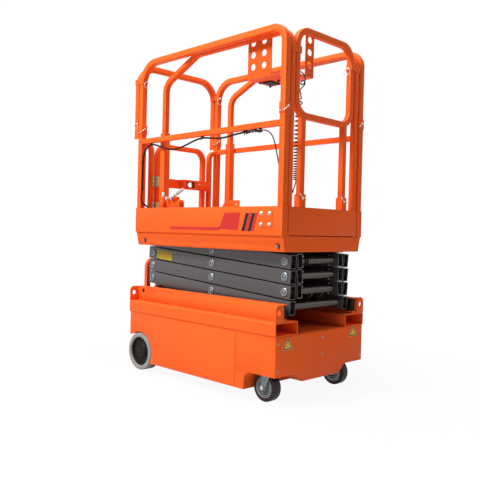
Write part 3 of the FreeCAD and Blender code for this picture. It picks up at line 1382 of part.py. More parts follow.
def guard_cable():
    """Cable tied to the near front post and under the mid rail, and the thin lead after its joint."""
    x, y, level = plain(front_x), plain(guard_y), plain(floor_top)
    beside = x + plain(s.post / 2 + s.cable_radius + s.seat_gap)
    joint_z = deck.joint_level
    cable = (
        (x + 52, 35 - y, level + 0.5),
        (x + 50, 37 - y, level + 55),
        (x + 48, 38 - y, level + 108),
        (x + 44, 28 - y, level + 152),
        (x + 34, 6 - y, level + 171),
        (x + 26, -16 - y, level + 186),
        (beside, -18 - y, level + 222),
        (beside, -8 - y, level + 270),
        (beside, -7 - y, level + 330),
        (beside, -7.5 - y, level + 392),
        (beside, -7 - y, level + 450),
        (beside + 4, -5 - y, level + 492),
        (x + 44, -2 - y, level + 524),
        (x + 78, -y, level + 543),
        (x + 118, -y, level + 546),
        (x + 176, 1 - y, level + 530),
        (x + 240, 2 - y, level + 510),
        (x + 306, 2 - y, level + 499),
        (x + 372, 1 - y, level + 503),
        (x + 444, -y, level + 520),
        (x + 512, -y, level + 538),
        (x + 574, -y, level + 546),
        (x + 634, 1 - y, level + 540),
        (x + 700, 2 - y, level + 531),
        (x + 766, 2 - y, level + 532),
        (x + 830, 1 - y, level + 540),
        (x + 894, -y, level + 545.5),
        (x + 948, -y, joint_z),
    )
    joint_x = (x + 948, x + 1010)
    plug_at = (back_x - s.post / 2 - s.lead_plug_radius - s.seat_gap, 11 - y)
    lead = (
        (joint_x[1], -y, joint_z),
        (x + 1046, -y, level + 546),
        (x + 1080, -y, level + 538),
        (x + 1108, -y, level + 517),
        (x + 1126, -y, level + 483),
        (x + 1139, 1 - y, level + 437),
        (x + 1151, 3 - y, level + 387),
        (x + 1160, 7 - y, level + 341),
        (plug_at[0], plug_at[1], level + 318),
        (plug_at[0], plug_at[1], deck.lead_plug_high),
    )
    node(group(cord_tube(s.cable_radius, cable), cord_tube(s.lead_radius, lead)), "guard_cable")
    joint = rod("X", s.joint_radius, joint_x, (-guard_y, joint_z))
    plug = rod("Z", s.lead_plug_radius, (deck.lead_plug_low, deck.lead_plug_high), plug_at)
    node(group(joint, plug), "cable_joints")


def curly_cord():
    """The control box's cord: its plug on the bracket's shelf, lead, coil, tail and socket."""
    x = loop_face - s.coil_gap - s.coil_radius
    y = -s.coil_side
    node(rod("Z", s.coil_radius, (deck.coil_low, deck.coil_top), (x, y)), "curly_cord")
    shelf = deck.side_plate_low + s.plate_sheet
    plug_at = (loop_face - s.plug_radius * 1.4, shelf + s.plug_radius + s.seat_gap)
    plug_y = (s.plug_radius - ext_y + s.ext_tube / 2, s.plug_radius - ext_y + s.ext_tube / 2 + s.plug_length)
    plug = rod("Y", s.plug_radius, plug_y, plug_at)
    at_x, at_y, at_z = plain(x), plain(y), plain(deck.coil_top)
    lead = (
        (plug_at[0], plug_y[1], plug_at[1]),
        (at_x + 10, at_y - 19, at_z + 132),
        (at_x + 25, at_y - 5, at_z + 130),
        (at_x + 36, at_y + 6, at_z + 109),
        (at_x + 37, at_y + 4, at_z + 79),
        (at_x + 28, at_y - 3, at_z + 49),
        (at_x + 11, at_y - 4, at_z + 24),
        (x, y, deck.coil_top),
    )
    socket_at = (end_x, deck.cord_socket)
    socket_y = (s.ext_tube / 2 - ext_y, s.ext_tube / 2 - ext_y + s.socket_radius * 2)
    low = plain(deck.coil_low)
    tail = (
        (x, y, deck.coil_low),
        (at_x + 1, at_y - 4, low - 21),
        (at_x + 3, at_y - 14, low - 41),
        (at_x + 9, at_y - 31, low - 53),
        (at_x + 21, at_y - 46, low - 60),
        (at_x + 34, at_y - 57, low - 63),
        (socket_at[0], socket_y[1], socket_at[1]),
    )
    node(cord_tube(s.cord_radius, lead), "cord_lead")
    node(cord_tube(s.cord_radius, tail), "cord_tail")
    node(group(plug, rod("Y", s.socket_radius, socket_y, socket_at)), "cord_plugs")


housing()
housing_covers()
side_tubes()
slide_channels()
pivot_brackets()
entry_ladder()
drive_train()
drive_wheels()
casters()
for stage in (1, 2, 3, 4):
    inner_arms(stage)
    outer_arms(stage)
slide_blocks()
lift_cylinder()
platform_tub()
platform_underframe()
side_guards()
entry_end()
gate_hinges()
extension()
control_bracket()
deck_locks()
guard_cable()
curly_cord()

doc.recompute()
faults = [item.Label for item in doc.Objects if {"Invalid", "Error"} & set(item.State)]
for item in nodes:
    shape = item.Shape
    if shape.isNull() or not shape.isValid() or not shape.Solids:
        faults.append(item.Label)
if faults:
    raise RuntimeError(f"not sound: {faults}")
os.makedirs("parts", exist_ok=True)
for item in nodes:
    item.Shape.exportStep(f"parts/{item.Label}.step")
    print(item.Label, len(item.Shape.Solids), round(item.Shape.Volume))
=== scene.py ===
import json
import math

import bmesh
import bpy
import numpy as np
from mathutils import Matrix, Vector

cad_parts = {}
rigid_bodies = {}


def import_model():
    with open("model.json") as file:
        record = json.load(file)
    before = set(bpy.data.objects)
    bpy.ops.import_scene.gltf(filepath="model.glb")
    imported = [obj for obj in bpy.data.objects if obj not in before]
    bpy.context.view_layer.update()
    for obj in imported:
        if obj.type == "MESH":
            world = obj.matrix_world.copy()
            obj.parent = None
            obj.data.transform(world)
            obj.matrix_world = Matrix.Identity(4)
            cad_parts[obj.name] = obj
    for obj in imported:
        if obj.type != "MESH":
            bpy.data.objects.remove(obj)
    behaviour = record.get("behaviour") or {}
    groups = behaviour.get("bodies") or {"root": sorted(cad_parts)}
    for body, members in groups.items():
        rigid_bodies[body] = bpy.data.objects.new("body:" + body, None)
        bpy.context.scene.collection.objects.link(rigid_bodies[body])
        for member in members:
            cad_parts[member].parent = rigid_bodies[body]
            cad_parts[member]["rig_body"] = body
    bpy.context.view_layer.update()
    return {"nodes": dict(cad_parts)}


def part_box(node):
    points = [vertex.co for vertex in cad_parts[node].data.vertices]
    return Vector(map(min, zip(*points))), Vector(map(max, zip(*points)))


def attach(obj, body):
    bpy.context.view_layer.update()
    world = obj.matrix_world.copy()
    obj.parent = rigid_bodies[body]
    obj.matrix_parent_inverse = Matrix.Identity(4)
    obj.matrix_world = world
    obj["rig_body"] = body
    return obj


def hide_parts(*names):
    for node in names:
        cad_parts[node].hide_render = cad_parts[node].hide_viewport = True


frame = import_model()

# Camera: level with the deck, off the corner between the casters' end and the near side, with the
# slight roll and the long lens of the photograph.
yaw, pitch, roll = math.radians(44.9635), math.radians(-0.8043), math.radians(1.4058)
camera_place = (2.7015, -2.687, 0.876)
ahead = Vector((-math.sin(yaw) * math.cos(pitch), math.cos(yaw) * math.cos(pitch), math.sin(pitch)))
rightward = Vector((math.cos(yaw), math.sin(yaw), 0))
above = rightward.cross(ahead)
tilted_right = rightward * math.cos(roll) + above * math.sin(roll)
tilted_up = above * math.cos(roll) - rightward * math.sin(roll)
camera = bpy.data.objects.new("camera", bpy.data.cameras.new("camera"))
camera.data.sensor_width = 36.0
camera.data.lens = 46.857
bpy.context.scene.collection.objects.link(camera)
camera.matrix_world = Matrix.Translation(camera_place) @ Matrix(
    (tilted_right, tilted_up, -ahead)
).transposed().to_4x4()
bpy.context.scene.camera = camera

# Curly cord of the control box: one black polyurethane jacket wound into a coil that its own weight
# pulls open at the top. It leaves a plug on the bracket and ends in a socket low by the deck.


def finish(name, colour, drift, gloss, grain=(), metal=0.0, specular=0.22, patch=3.0):
    """A painted or bare finish: two close colours mixed by soft clouds, gloss that wanders between
    two roughness values, and fine relief in layers of (waves per metre, depth in mm)."""
    material = bpy.data.materials.new(name)
    material.use_nodes = True
    tree = material.node_tree
    shader = tree.nodes["Principled BSDF"]
    shader.inputs["Metallic"].default_value = metal
    shader.inputs["Specular IOR Level"].default_value = specular
    place = tree.nodes.new("ShaderNodeTexCoord").outputs["Object"]

    def cloud(scale, detail):
        noise = tree.nodes.new("ShaderNodeTexNoise")
        noise.inputs["Scale"].default_value = scale
        noise.inputs["Detail"].default_value = detail
        tree.links.new(place, noise.inputs["Vector"])
        return noise.outputs["Fac"]

    mix = tree.nodes.new("ShaderNodeMix")
    mix.data_type = "RGBA"
    low = [value * (1 - drift) for value in colour]
    high = [min(1.0, value * (1 + drift)) for value in colour]
    mix.inputs["A"].default_value = (*low, 1)
    mix.inputs["B"].default_value = (*high, 1)
    tree.links.new(cloud(patch, 4.0), mix.inputs["Factor"])
    tree.links.new(mix.outputs["Result"], shader.inputs["Base Color"])
    span = tree.nodes.new("ShaderNodeMapRange")
    span.inputs["From Min"].default_value = 0.3
    span.inputs["From Max"].default_value = 0.7
    span.inputs["To Min"].default_value = gloss[0]
    span.inputs["To Max"].default_value = gloss[1]
    tree.links.new(cloud(patch * 6, 5.0), span.inputs["Value"])
    tree.links.new(span.outputs["Result"], shader.inputs["Roughness"])
    normal = None
    for scale, depth in grain:
        bump = tree.nodes.new("ShaderNodeBump")
        bump.inputs["Distance"].default_value = depth / 1000
        tree.links.new(cloud(scale, 2.0), bump.inputs["Height"])
        if normal is not None:
            tree.links.new(normal, bump.inputs["Normal"])
        normal = bump.outputs["Normal"]
    if normal is not None:
        tree.links.new(normal, shader.inputs["Normal"])
    return material


def smooth_line(name, runs, material, body):
    """Round cords or wires as one curve: each run is (points, radius), its points the control points
    of a smooth open spline that starts and ends at its own first and last point."""
    first_radius = runs[0][1]
    curve = bpy.data.curves.new(name, "CURVE")
    curve.dimensions = "3D"
    curve.bevel_depth = first_radius
    curve.bevel_resolution = 5
    curve.resolution_u = 6
    curve.use_fill_caps = True
    for points, radius in runs:
        points = np.array(points, float)
        spline = curve.splines.new("NURBS")
        spline.points.add(len(points) - 1)
        spline.points.foreach_set("co", np.c_[points, np.ones(len(points))].ravel())
        spline.points.foreach_set("radius", np.full(len(points), radius / first_radius))
        spline.order_u = 3
        spline.use_endpoint_u = True
    curve.materials.append(material)
    piece = bpy.data.objects.new(name, curve)
    bpy.context.scene.collection.objects.link(piece)
    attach(piece, body)
    return piece


def coil_turns(top, low, middle, lean, radius, first, last, per_turn=14):
    """A hanging coil: equal steps round a circle, each turn lower than the one above by a pitch that
    shrinks evenly with the height from the first to the last, so the height falls off as an
    exponential of the turns. The coil's middle leans aside with the sixth power of the height, and
    the first and last half turns widen from nearly nothing."""
    drop, shrink = top - low, first - last
    count = math.log(first / last) * drop / shrink
    turn = np.linspace(0, count, int(count * per_turn) + 1)
    height = top - first * (1 - np.exp(-turn * shrink / drop)) * drop / shrink
    reach = radius * np.clip(np.minimum(turn, count - turn) * 2 + 0.15, 0, 1)
    aside = np.clip((height - low) / drop, 0, 1) ** 6
    angle = 2 * np.pi * turn
    x = middle[0] + lean[0] * aside + reach * np.cos(angle)
    y = middle[1] + lean[1] * aside + reach * np.sin(angle)
    return np.stack([x, y, height], -1)


SHARP_TURN = 35


def softened(node, width, material, segments=2, fine=(0.0, 0.0)):
    """The CAD solid with rounded edges: a merged copy whose flat triangles are joined into faces
    and whose sharp edges, which turn by more than 35 degrees, are bevelled by the width in
    millimetres, or by a third of it where the edge's length lies between the two fine lengths in
    metres. A width of 0 leaves the edges sharp."""
    source = frame["nodes"][node]
    shape = bmesh.new()
    shape.from_mesh(source.data)
    bmesh.ops.remove_doubles(shape, verts=shape.verts, dist=2e-6)
    bmesh.ops.dissolve_limit(
        shape, angle_limit=math.radians(0.5), verts=shape.verts, edges=shape.edges
    )
    mesh = bpy.data.meshes.new(node + "_formed")
    shape.to_mesh(mesh)
    shape.free()
    mesh.materials.clear()
    mesh.materials.append(material)
    mesh.shade_smooth()
    piece = bpy.data.objects.new(node + "_formed", mesh)
    bpy.context.scene.collection.objects.link(piece)
    if width:
        place = np.empty(len(mesh.vertices) * 3)
        ends = np.empty(len(mesh.edges) * 2, int)
        edge_of = np.empty(len(mesh.loops), int)
        normal = np.empty(len(mesh.polygons) * 3)
        corners = np.empty(len(mesh.polygons), int)
        mesh.vertices.foreach_get("co", place)
        mesh.edges.foreach_get("vertices", ends)
        mesh.loops.foreach_get("edge_index", edge_of)
        mesh.polygons.foreach_get("normal", normal)
        mesh.polygons.foreach_get("loop_total", corners)
        corner_normal = np.repeat(normal.reshape(-1, 3), corners, axis=0)
        sides = corner_normal[np.argsort(edge_of, kind="stable")].reshape(-1, 2, 3)
        ends_at = place.reshape(-1, 3)[ends.reshape(-1, 2)]
        length = np.linalg.norm(np.diff(ends_at, axis=1)[:, 0], axis=1)
        sharp = (sides[:, 0] * sides[:, 1]).sum(1) < math.cos(math.radians(SHARP_TURN))
        weight = np.where((length > fine[0]) & (length < fine[1]), 0.33, 1.0) * sharp
        weights = mesh.attributes.new("bevel_weight_edge", "FLOAT", "EDGE")
        weights.data.foreach_set("value", weight.astype(np.float32))
        bevel = piece.modifiers.new("edges", "BEVEL")
        bevel.width = width / 1000
        bevel.segments = segments
        bevel.limit_method = "WEIGHT"
        bevel.harden_normals = True
        bevel.use_clamp_overlap = True
    else:
        mesh.set_sharp_from_angle(angle=math.radians(SHARP_TURN))
    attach(piece, source["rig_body"])
    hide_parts(node)
    return piece


jacket = finish(
    "black_cord_jacket", (0.009, 0.009, 0.010), 0.2, (0.38, 0.54), ((500.0, 0.05),),
    specular=0.12, patch=30.0,
)
# Black nylon of plugs, joints, clips, blocks, rings, pad and knobs; the same black is also painted
# shade in the caster grooves and the slide channels' holes.
nylon_and_shade = finish(
    "black_nylon", (0.012, 0.012, 0.013), 0.2, (0.42, 0.6), ((800.0, 0.05),),
    specular=0.15, patch=20.0,
)
cord_exit = (0.5971, -0.2050, 1.7103)
cord_lead = [
    cord_exit, (0.6005, -0.1910, 1.7120), (0.6155, -0.1770, 1.7100), (0.6270, -0.1655, 1.6930),
    (0.6300, -0.1625, 1.6720), (0.6290, -0.1645, 1.6560), (0.6235, -0.1695, 1.6450),
    (0.6155, -0.1765, 1.6440), (0.6120, -0.1790, 1.6530), (0.6160, -0.1740, 1.6640),
    (0.6240, -0.1650, 1.6650), (0.6280, -0.1600, 1.6550), (0.6240, -0.1635, 1.6400),
    (0.6130, -0.1700, 1.6280), (0.6020, -0.1745, 1.6150), (0.6050, -0.1640, 1.6000),
]
cord_coil = coil_turns(
    top=1.5860, low=1.1505, middle=(0.5915, -0.171), lean=(0.008, 0.009),
    radius=0.0146, first=0.031, last=0.0095,
)
cord_tail = [
    (0.5915, -0.1760, 1.1290), (0.5935, -0.1860, 1.1090), (0.5995, -0.2030, 1.0970),
    (0.6115, -0.2180, 1.0900), (0.6245, -0.2290, 1.0870), (0.6325, -0.2450, 1.0860),
]
cord_points = np.concatenate([cord_lead, cord_coil, cord_tail])
curly = smooth_line("curly_cord_line", [(cord_points, 0.003)], jacket, "extension")
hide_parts("curly_cord", "cord_lead", "cord_tail")
plugs = softened("cord_plugs", 1.5, nylon_and_shade, 3)

# Guard cable: a black rubber cable tied to the entry post and under the near mid rail, with a ribbed
# moulded joint from which a thinner lead drops to a plug on the end post. Nylon ties hold it.


def grid(rows, columns):
    """Quads of a grid of points numbered row by row, joined round the columns."""
    row = np.arange(rows - 1)[:, None] * columns
    start = np.arange(columns)[None, :]
    after = (start + 1) % columns
    corners = [row + start, row + after, row + columns + after, row + columns + start]
    return np.stack(corners, -1).reshape(-1, 4)


def lathe(profile, steps=32):
    """A profile of (radius, height) points turned a full circle about Z."""
    radius, height = np.array(profile, float).T
    angle = np.linspace(0, 2 * np.pi, steps, endpoint=False)
    x, y = np.outer(radius, np.cos(angle)), np.outer(radius, np.sin(angle))
    z = np.repeat(height[:, None], steps, axis=1)
    return np.stack([x, y, z], -1).reshape(-1, 3), grid(len(profile), steps)


def stamped(unit, places, direction):
    """Copies of one small shape: its Z turned onto the direction, its origin at each place."""
    points, faces = unit
    turn = np.array(Vector((0, 0, 1)).rotation_difference(Vector(direction)).to_matrix())
    places = np.array(places, float).reshape(-1, 3)
    moved = (points @ turn.T)[None] + places[:, None]
    count = np.arange(len(places))[:, None, None] * len(points)
    return moved.reshape(-1, 3), (faces[None] + count).reshape(-1, 4)


def placed(part, origin, across, up):
    """A shape moved so that its X runs across, its Y up, and its origin lies at the given point."""
    points, faces = part
    across, up = np.array(across, float), np.array(up, float)
    return points @ np.stack([across, up, np.cross(across, up)]) + np.array(origin), faces


def rounded(half_x, half_y, corner, steps=5):
    """A rectangle with round corners: four quarter circles, each about its own corner's middle."""
    quarter = np.arange(4)[:, None] * np.pi / 2
    angle = quarter + np.linspace(0, np.pi / 2, steps)[None, :]
    way_x = np.sign(np.cos(quarter + np.pi / 4)) * (half_x - corner)
    way_y = np.sign(np.sin(quarter + np.pi / 4)) * (half_y - corner)
    x, y = way_x + corner * np.cos(angle), way_y + corner * np.sin(angle)
    return np.stack([x, y], -1).reshape(-1, 2)


def slab(outline, thickness, edge=0.0):
    """A flat sheet on an outline: rings of its middle, the outline, the outline at the upper edge,
    the outline drawn in by that edge's width and the middle again."""
    outline = np.array(outline, float)
    middle = np.broadcast_to(outline.mean(0), outline.shape)
    inward = middle - outline
    drawn = outline + inward / np.linalg.norm(inward, axis=1, keepdims=True) * edge
    rings = [
        (middle, 0), (outline, 0), (outline, thickness - edge), (drawn, thickness),
        (middle, thickness),
    ]
    points = [np.c_[ring, np.full(len(ring), level)] for ring, level in rings]
    return np.concatenate(points), grid(len(rings), len(outline))


def made(name, parts, material, body, sharp=SHARP_TURN):
    """One piece from several point-and-face arrays, closed at its poles, normals outwards. Edges
    that turn by more than the sharp angle in degrees stay crisp."""
    points, faces, total = [], [], 0
    for part_points, part_faces in parts:
        points.append(part_points)
        faces.append(part_faces + total)
        total += len(part_points)
    mesh = bpy.data.meshes.new(name)
    mesh.from_pydata(np.concatenate(points).tolist(), [], np.concatenate(faces).tolist())
    shape = bmesh.new()
    shape.from_mesh(mesh)
    bmesh.ops.remove_doubles(shape, verts=shape.verts, dist=1e-6)
    bmesh.ops.recalc_face_normals(shape, faces=shape.faces)
    shape.to_mesh(mesh)
    shape.free()
    mesh.materials.append(material)
    mesh.shade_smooth()
    mesh.set_sharp_from_angle(angle=math.radians(sharp))
    piece = bpy.data.objects.new(name, mesh)
    bpy.context.scene.collection.objects.link(piece)
    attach(piece, body)
    return piece


RAIL_LANE = 0.323
CABLE_LANE, JOINT_LEVEL = -RAIL_LANE, 1.4037
joint_start, joint_end, plug_base = 0.3915, 0.4535, (0.6112, -0.312, 1.125)
guard_route = [
    (-0.5045, -0.288, 0.8575), (-0.5065, -0.286, 0.912), (-0.5085, -0.285, 0.965),
    (-0.5125, -0.295, 1.009), (-0.5225, -0.317, 1.028), (-0.5305, -0.339, 1.043),
    (-0.5337, -0.341, 1.079), (-0.5337, -0.331, 1.127), (-0.5337, -0.330, 1.187),
    (-0.5337, -0.3305, 1.249), (-0.5337, -0.330, 1.307), (-0.5297, -0.328, 1.349),
    (-0.5125, -0.325, 1.381), (-0.4785, -0.323, 1.400), (-0.4385, -0.323, 1.403),
    (-0.3805, -0.322, 1.387), (-0.3165, -0.321, 1.367), (-0.2505, -0.321, 1.356),
    (-0.1845, -0.322, 1.360), (-0.1125, -0.323, 1.377), (-0.0445, -0.323, 1.395),
    (0.0175, -0.323, 1.403), (0.0775, -0.322, 1.397), (0.1435, -0.321, 1.388),
    (0.2095, -0.321, 1.389), (0.2735, -0.322, 1.397), (0.3375, -0.323, 1.4025),
    (joint_start, CABLE_LANE, JOINT_LEVEL),
]
lead_route = [
    (joint_end, CABLE_LANE, JOINT_LEVEL), (0.4895, -0.323, 1.403), (0.5235, -0.323, 1.395),
    (0.5515, -0.323, 1.374), (0.5695, -0.323, 1.340), (0.5825, -0.322, 1.294),
    (0.5945, -0.320, 1.244), (0.6035, -0.316, 1.198), (0.6112, -0.312, 1.175),
    (0.6112, -0.312, 1.150),
]
cable_runs = [(guard_route, 0.0051), (lead_route, 0.0030)]
guard_line = smooth_line("guard_cable_line", cable_runs, jacket, "platform")
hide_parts("guard_cable")
joint_body = lathe(
    [
        (0, 0), (0.0052, 0), (0.0062, 0.004), (0.0062, 0.012), (0.0078, 0.014), (0.0080, 0.020),
        (0.0068, 0.022), (0.0068, 0.025), (0.0080, 0.027), (0.0080, 0.035), (0.0068, 0.037),
        (0.0068, 0.040), (0.0080, 0.042), (0.0078, 0.048), (0.0060, 0.050), (0.0056, 0.058),
        (0.0034, 0.062), (0, 0.062),
    ],
    28,
)
joint_plug = lathe(
    [
        (0, 0), (0.0044, 0), (0.0050, 0.001), (0.0050, 0.008), (0.0042, 0.010), (0.0042, 0.019),
        (0.0032, 0.025), (0, 0.025),
    ],
    24,
)
joint_parts = [
    stamped(joint_body, [(joint_start, CABLE_LANE, JOINT_LEVEL)], (1, 0, 0)),
    stamped(joint_plug, [plug_base], (0, 0, 1)),
]
joints = made("cable_joint_bodies", joint_parts, nylon_and_shade, "platform", 30)
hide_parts("cable_joints")
clip_band = lathe(
    [
        (0.0044, -0.005), (0.0066, -0.005), (0.0070, -0.004), (0.0070, 0.004), (0.0066, 0.005),
        (0.0044, 0.005), (0.0044, -0.005),
    ],
    20,
)
clip_foot = slab(rounded(0.0085, 0.0060, 0.0015, 3), 0.0046, 0.0006)
tie_tail = slab(rounded(0.0022, 0.0085, 0.0008, 3), 0.0014, 0.0003)
rail_clips = [(x, CABLE_LANE, 1.4035) for x in (-0.462, 0.016, 0.352, 0.372)]
post_clips = [(-0.5337, -0.3303, z) for z in (1.297, 1.13)]
tie_parts = [stamped(clip_band, rail_clips, (1, 0, 0)), stamped(clip_band, post_clips, (0, 0, 1))]
for tie_x in (-0.462, 0.016, 0.362, 0.470):
    tie_parts.append(placed(clip_foot, (tie_x, CABLE_LANE, 1.4120), (1, 0, 0), (0, -1, 0)))
    tie_parts.append(placed(tie_tail, (tie_x, -0.3292, 1.3935), (1, 0, 0), (0.26, -0.1, 0.96)))
made("cable_clips", tie_parts, nylon_and_shade, "platform")
joint_band = lathe(
    [(0.0078, -0.002), (0.0090, -0.002), (0.0090, 0.002), (0.0078, 0.002), (0.0078, -0.002)], 24
)
tinned = finish(
    "tinned_steel", (0.50, 0.50, 0.49), 0.08, (0.22, 0.4), ((900.0, 0.03),), metal=1.0, patch=20.0
)
bands = [stamped(joint_band, [(x, CABLE_LANE, JOINT_LEVEL) for x in (0.4150, 0.4315)], (1, 0, 0))]
made("joint_bands", bands, tinned, "platform")
joint_side = lathe(
    [(0, 0), (0.0050, 0.001), (0.0056, 0.004), (0.0056, 0.030), (0.0042, 0.036), (0, 0.037)], 20
)
side_joints = [
    placed(joint_side, (0.372, -0.3300, 1.3950), (0, 1, 0), (-0.16, 0, 0.987)),
    placed(joint_side, (0.452, -0.3290, 1.3985), (0, 1, 0), (0.12, 0, 0.993)),
]
made("side_joints", side_joints, nylon_and_shade, "platform", 40)

# Lower housing: folded and welded steel sheet under an orange powder coat, with flush covers on
# both sides and a bolted panel at each end. Blank yellow triangles mark the casters' end.


def socket_screw(radius, height, socket, steps=24):
    """A button-head screw on Z: a dome whose rings end in a six-sided socket sunk into its top.
    Each ring is a circle or a hexagon, whose radius is its apothem over the cosine of the turn
    from the middle of the nearest side."""
    angle = np.linspace(0, 2 * np.pi, steps, endpoint=False)
    side = np.pi / 3
    hexagon = 1 / np.cos((angle % side) - side / 2)
    circle = np.ones_like(angle)
    rings = [
        (0.0, 0.0, circle),
        (radius, 0.0, circle),
        (radius, height * 0.25, circle),
        (radius * 0.93, height * 0.6, circle),
        (radius * 0.78, height * 0.9, circle),
        (radius * 0.62, height, circle),
        (socket, height, hexagon),
        (socket * 0.97, height * 0.45, hexagon),
        (0.0, height * 0.4, circle),
    ]
    points = [
        np.stack([r * shape * np.cos(angle), r * shape * np.sin(angle), 0 * angle + z], -1)
        for r, z, shape in rings
    ]
    return np.concatenate(points), grid(len(rings), steps)


def triangle(half_width, height, corner, steps=5):
    """An upright triangle with round corners: at each corner an arc of 120 degrees or so about a
    point drawn in from the corner, numbered anticlockwise, its middle at the origin."""
    slope = math.atan2(height, half_width)
    tips = np.array([(half_width, -height / 3), (0, 2 * height / 3), (-half_width, -height / 3)])
    drawn = tips * (1 - 2 * corner / height)
    starts = np.array([-np.pi / 2, np.pi / 2 - slope, np.pi / 2 + slope])
    turns = np.array([np.pi - slope, 2 * slope, np.pi - slope])
    angle = starts[:, None] + turns[:, None] * np.linspace(0, 1, steps)[None, :]
    arc = corner * np.stack([np.cos(angle), np.sin(angle)], -1)
    return (drawn[:, None, :] + arc).reshape(-1, 2)


PEEL = ((700.0, 0.035), (90.0, 0.10))
FILM = dict(gloss=(0.30, 0.42), grain=((300.0, 0.01),), patch=20.0)
orange = finish(
    "orange_powder_coat", (0.87, 0.122, 0.019), 0.045, (0.34, 0.5), PEEL, specular=0.07
)
steel = finish(
    "dull_steel", (0.30, 0.27, 0.25), 0.1, (0.28, 0.45), ((900.0, 0.03),), metal=0.9, patch=20.0
)
dark_film = finish("dark_film", (0.014, 0.013, 0.012), 0.15, **FILM)
yellow_film = finish("yellow_film", (0.72, 0.46, 0.03), 0.06, **FILM)
pale_film = finish("pale_film", (0.66, 0.52, 0.36), 0.06, **FILM)
softened("chassis_housing", 1.6, orange)
softened("service_covers", 0.8, orange)
softened("end_panel_back", 0.9, orange)
softened("end_panel_front", 0.9, orange)
panel_screw = socket_screw(0.0072, 0.0032, 0.0028)
panel_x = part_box("end_panel_back")[1].x
back_spots = [
    (-0.354, 0.318), (-0.354, 0.179), (0.0, 0.320), (0.0, 0.230), (0.356, 0.318), (0.356, 0.179)
]
back_screws = stamped(panel_screw, [(panel_x, y, z) for y, z in back_spots], (1, 0, 0))
made("panel_screws_back", [back_screws], steel, "chassis")
front_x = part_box("end_panel_front")[0].x
front_spots = [
    (-0.354, 0.318), (-0.354, 0.235), (0.354, 0.318), (0.354, 0.235), (-0.25, 0.12), (0.25, 0.12)
]
front_screws = stamped(panel_screw, [(front_x, y, z) for y, z in front_spots], (-1, 0, 0))
made("panel_screws_front", [front_screws], steel, "chassis")
triangle_corner = 0.004
for name, half, height, level, film in (
    ("triangle_rims", 0.043, 0.062, 0.00010, pale_film),
    ("triangle_borders", 0.0385, 0.0555, 0.00018, dark_film),
    ("triangle_fields", 0.0295, 0.0425, 0.00026, yellow_film),
):
    sheet = slab(triangle(half, height, triangle_corner), level)
    signs = [
        placed(sheet, (panel_x, y, z), (0, 1, 0), (0, 0, 1))
        for y, z in ((-0.2825, 0.3055), (0.283, 0.318))
    ]
    made(name, signs, film, "chassis")

# Side tubes for fork tines, with the slide channels and tie-down lugs welded on top, and the pivot
# brackets of the lowest arms. All are orange like the housing, with short weld tabs on the ledges.
# Black discs just inside the holes of the slide channels' webs are painted shade.


def bead(start, end, radius, pitch=0.0035, around=8):
    """A weld bead: circles strung from start to end, whose radius ripples by a tenth from one pool to
    the next and falls to nothing along a quarter circle at each end."""
    start, end = np.array(start, float), np.array(end, float)
    length = np.linalg.norm(end - start)
    along = np.linspace(0, length, max(9, int(length / pitch * 4)))
    near = np.clip(np.minimum(along, length - along) / radius, 0, 1)
    ripple = 0.9 + 0.2 * np.abs(np.sin(np.pi * along / pitch))
    reach = radius * np.sqrt(1 - (1 - near) ** 2) * ripple
    way = (end - start) / length
    side = np.cross(way, (0.577, 0.577, 0.577))
    side /= np.linalg.norm(side)
    angle = np.linspace(0, 2 * np.pi, around, endpoint=False)
    ring = np.cos(angle)[:, None] * side + np.sin(angle)[:, None] * np.cross(way, side)
    points = start + along[:, None, None] * way + reach[:, None, None] * ring[None]
    return points.reshape(-1, 3), grid(len(along), around)


SHORT_EDGES = (0.0, 0.3)
softened("fork_tubes", 5.0, orange, 4, SHORT_EDGES)
softened("slide_channels", 1.2, orange)
softened("tie_down_lugs", 1.4, orange)
softened("pivot_brackets", 1.2, orange)
ledge = 0.4245
ledge_beads = []
for side in (-1, 1):
    for x in (-0.551, -0.193, 0.257):
        lane = side * 0.3275
        ledge_beads.append(bead((x, lane, ledge), (x + 0.040, lane, ledge), 0.0062))
    for x in (-0.5655, 0.6505):
        ledge_beads.append(bead((x, side * 0.3395, ledge), (x, side * 0.3785, ledge), 0.003))
made("ledge_weld_beads", ledge_beads, orange, "chassis", 60)
# Black discs set just behind the outer face of the channels' web holes: painted shade in the holes.
hole_shade_disc = lathe([(0, 0), (0.0126, 0), (0.0126, 0.0018), (0.0110, 0.0026), (0, 0.0026)], 32)
hole_shade_discs = [stamped(hole_shade_disc, [(-0.5100, side * 0.3195, 0.4875)], (0, side, 0)) for side in (-1, 1)]
made("slide_hole_shade_discs", hole_shade_discs, nylon_and_shade, "chassis")
black_coat = finish("black_paint", (0.018, 0.018, 0.019), 0.12, (0.32, 0.55), PEEL)
softened("battery_block", 3.0, black_coat)
softened("drive_motors", 1.0, black_coat)

# Entry ladder of bent steel tube with two treads welded across, fixed under the gate and painted in
# the same orange.
softened("entry_ladder", 4.0, orange, 3)

# Drive wheels: solid non-marking tyres, pale grey and dusty, pressed on dark brown-black discs that
# the motors' hubs carry.
tyre = finish(
    "grey_tyre_rubber", (0.29, 0.28, 0.27), 0.14, (0.62, 0.85), ((260.0, 0.25), (1400.0, 0.06)),
    patch=14.0,
)
disc = finish(
    "dark_disc_paint", (0.010, 0.0075, 0.0065), 0.6, (0.34, 0.62), ((120.0, 0.35), (900.0, 0.08)),
    specular=0.12, patch=24.0,
)
for wheel in ("near", "far"):
    softened(f"drive_tyre_{wheel}", 2.0, tyre, 3)
    softened(f"drive_disc_{wheel}", 0.8, disc)
